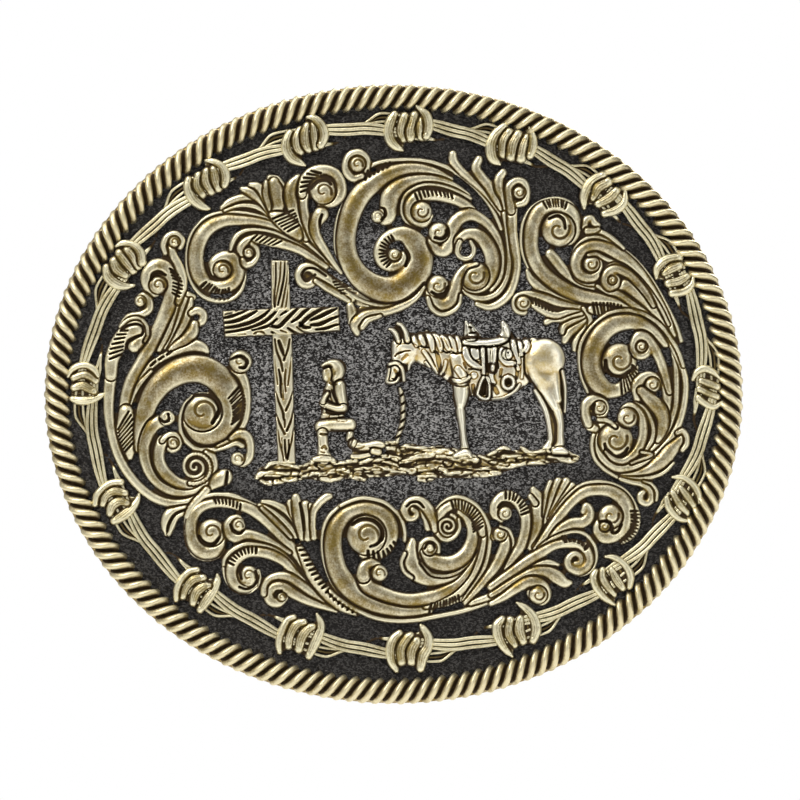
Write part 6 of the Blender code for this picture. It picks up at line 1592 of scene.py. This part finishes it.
def barb(name, text):
    """Wraps and points of one barb, each wrap scored along its length."""
    r = Relief(*window_of(text), step=0.5)
    for line in text.strip().splitlines():
        if line[0] == "s":
            pts = smooth_path(parse(line[2:]))
            wide = pts[:, 2].max()
            tops = 0.72 + 0.10 * pts[:, 2]
            pts[:, 2] = pts[:, 2] * 1.10 + 0.2
            r.stroke(pts, moat=0.5, tops=tops, edge=0.42)
            if wide > 4.2 and len(pts) > 14:
                d = np.gradient(pts[:, :2], axis=0)
                d /= np.maximum(np.hypot(d[:, 0], d[:, 1]), 1e-6)[:, None]
                nrm = np.stack([-d[:, 1], d[:, 0]], 1)
                for f in (-0.42, -0.05, 0.36):
                    q = pts[3:-3]
                    line_ = np.column_stack([q[:, :2] + nrm[3:-3] * (f * q[:, 2])[:, None],
                                             np.full(len(q), 0.5)])
                    r.cut(line_, depth=0.11, floor=0.5)
        else:
            r.draw([line])
    r.knit(3.4, 0.46)
    ob = relief_object(name + "_detail", r, 0.7)
    return dress(ob, WIRE, "wire_brass", "buckle", name)


def ornament(node, text, mat, slot, step=STEP, soften=0.75, extra=None, web=(1.9, 0.26)):
    r = Relief(*window_of(text), step=step)
    r.draw(text.strip().splitlines())
    if web:
        r.knit(*web)
    if extra:
        extra(r)
    ob = relief_object(node + "_detail", r, soften)
    return dress(ob, mat, slot, "buckle", node)


def horse_and_saddle():
    """One height field for both, parted where the saddle lies on the horse."""
    both = ART["horse"].strip() + "\n" + ART["saddle"].strip()
    r = Relief(*window_of(both), step=0.42)
    r.draw(ART["horse"].strip().splitlines())
    r.knit(2.6, 0.52)
    r.mark[:] = False
    r.draw(ART["saddle"].strip().splitlines())
    on = r.mark & (r.h > 0.1)
    whole = r.h.copy()
    r.h = np.where(on, whole, FLOOR)
    dress(relief_object("saddle_detail", r, 0.7), SADDLE, "saddle_nickel",
          "buckle", "saddle")
    r.h = np.where(on, np.maximum(whole - 0.22, FLOOR), whole)
    dress(relief_object("horse_detail", r, 0.8), HORSE, "horse_gold", "buckle", "horse")


def rocky(r):
    """Break the ground strip up into rough ledges."""
    u, v = np.meshgrid(r.us, r.vs)
    n1 = noise2(u * 0.45, v, 2.6, 21)
    n2 = noise2(u * 0.5, v * 1.1, 1.7, 22)
    crack = np.abs(noise2(u * 0.38, v, 3.4, 23))
    h = r.h + (0.20 * n1 + 0.12 * n2) * (r.h > 0.25)
    h = h - 0.42 * (1 - ease(crack, 0.04, 0.20)) * (r.h > 0.3)
    r.h = np.where(r.h > 0.2, np.maximum(h, 0.10), r.h)


# ------------------------------------------------------------ put it together
base_plate()
rope_edge()
rim_band()
wire_ring()
for i in range(1, 17):
    n = "barb_%02d" % i
    barb(n, ART[n])
for n in ("scroll_left", "scroll_upper_left", "scroll_upper_right", "scroll_right",
          "scroll_bottom"):
    ornament(n, ART[n], BRASS, "scroll_brass")
ornament("ground_strip", ART["ground_strip"], SCENE, "scene_brass", step=0.5, extra=rocky)
for n in ("cross_upright", "cross_beam", "lead_rope"):
    ornament(n, ART[n], SCENE, "scene_brass", step=0.45, web=None)
ornament("kneeling_figure", ART["kneeling_figure"], SCENE, "scene_brass", step=0.45,
         web=(2.4, 0.50))
horse_and_saddle()
for n, width, body in (("hinge_base", 0.00028, "buckle"), ("hinge_pin", 0.00022, "buckle"),
                       ("bail_loop", 0.00042, "bail"), ("stud_foot", 0.00025, "buckle"),
                       ("stud_post", 0.00028, "buckle")):
    hardware(n, width, body)


# ------------------------------------------------------------ stage
def studio():
    me = bpy.data.meshes.new("floor")
    bm = bmesh.new()
    bmesh.ops.create_grid(bm, x_segments=8, y_segments=8, size=0.6)
    bmesh.ops.translate(bm, verts=bm.verts, vec=(0, 0, -0.078))
    bm.to_mesh(me)
    bm.free()
    floor = new_object("floor", me)
    m, nt, bs = nodes_of("pale_floor")
    bs.inputs["Base Color"].default_value = (0.83, 0.83, 0.82, 1)
    bs.inputs["Roughness"].default_value = 0.75
    me.materials.append(m)

    def softbox(name, loc, aim, w, h, power, tint=(1, 1, 1)):
        li = bpy.data.lights.new(name, "AREA")
        li.shape = "RECTANGLE"
        li.size, li.size_y = w, h
        li.energy = power
        li.color = tint
        ob = bpy.data.objects.new(name, li)
        bpy.context.scene.collection.objects.link(ob)
        ob.location = loc
        ob.visible_camera = False
        ob.rotation_euler = (Vector(aim) - Vector(loc)).to_track_quat("-Z", "Y").to_euler()
        return ob

    softbox("key", (-0.32, -0.34, 0.42), (0, 0, 0), 0.28, 0.28, 2.1, (1.0, 0.985, 0.96))
    softbox("fill", (0.42, -0.34, 0.12), (0, 0, 0), 0.25, 0.45, 0.5, (0.96, 0.98, 1.0))
    softbox("top", (0.02, -0.05, 0.55), (0, 0, 0), 0.5, 0.3, 1.3)
    softbox("rear", (0.25, 0.5, 0.30), (0, 0, 0), 0.4, 0.4, 3.0)

    w = bpy.data.worlds.new("studio")
    bpy.context.scene.world = w
    w.use_nodes = True
    nt = w.node_tree
    nt.nodes.clear()
    out = nt.nodes.new("ShaderNodeOutputWorld")
    lp = nt.nodes.new("ShaderNodeLightPath")
    white = nt.nodes.new("ShaderNodeBackground")
    white.inputs[0].default_value = (1, 1, 1, 1)
    room = nt.nodes.new("ShaderNodeBackground")
    tc = nt.nodes.new("ShaderNodeTexCoord")
    sep = nt.nodes.new("ShaderNodeSeparateXYZ")
    nt.links.new(tc.outputs["Generated"], sep.inputs[0])
    up = math_node(nt, "SUBTRACT", math_node(nt, "MULTIPLY", sep.outputs["Z"], 0.85),
                   math_node(nt, "MULTIPLY", sep.outputs["X"], 0.35))
    mr = nt.nodes.new("ShaderNodeMapRange")
    mr.inputs["From Min"].default_value = -0.55
    mr.inputs["From Max"].default_value = 0.70
    mr.inputs["To Min"].default_value = 0.03
    mr.inputs["To Max"].default_value = 0.62
    nt.links.new(up, mr.inputs["Value"])
    nt.links.new(mr.outputs[0], room.inputs[1])
    room.inputs[0].default_value = (1, 1, 1, 1)
    mx = nt.nodes.new("ShaderNodeMixShader")
    nt.links.new(lp.outputs["Is Camera Ray"], mx.inputs[0])
    nt.links.new(room.outputs[0], mx.inputs[1])
    nt.links.new(white.outputs[0], mx.inputs[2])
    nt.links.new(mx.outputs[0], out.inputs[0])

    cam = bpy.data.cameras.new("camera")
    ob = bpy.data.objects.new("camera", cam)
    bpy.context.scene.collection.objects.link(ob)
    dist = 0.90
    az, el = math.radians(CAM_AZ), math.radians(CAM_EL)
    back = Vector((math.sin(az) * math.cos(el), -math.cos(az) * math.cos(el), math.sin(el)))
    aim = Vector(CAM_AIM)
    ob.location = aim + back * dist
    ob.rotation_euler = (-back).to_track_quat("-Z", "Y").to_euler()
    cam.sensor_width = 36
    cam.lens = 36 * dist / CAM_WIDTH
    cam.dof.use_dof = False
    bpy.context.scene.camera = ob
    bpy.context.scene.view_settings.view_transform = "Standard"


CAM_AZ, CAM_EL = -0.6, -1.0
CAM_AIM = (0.00075, -0.003, -0.00080)
CAM_WIDTH = 0.1017
studio()
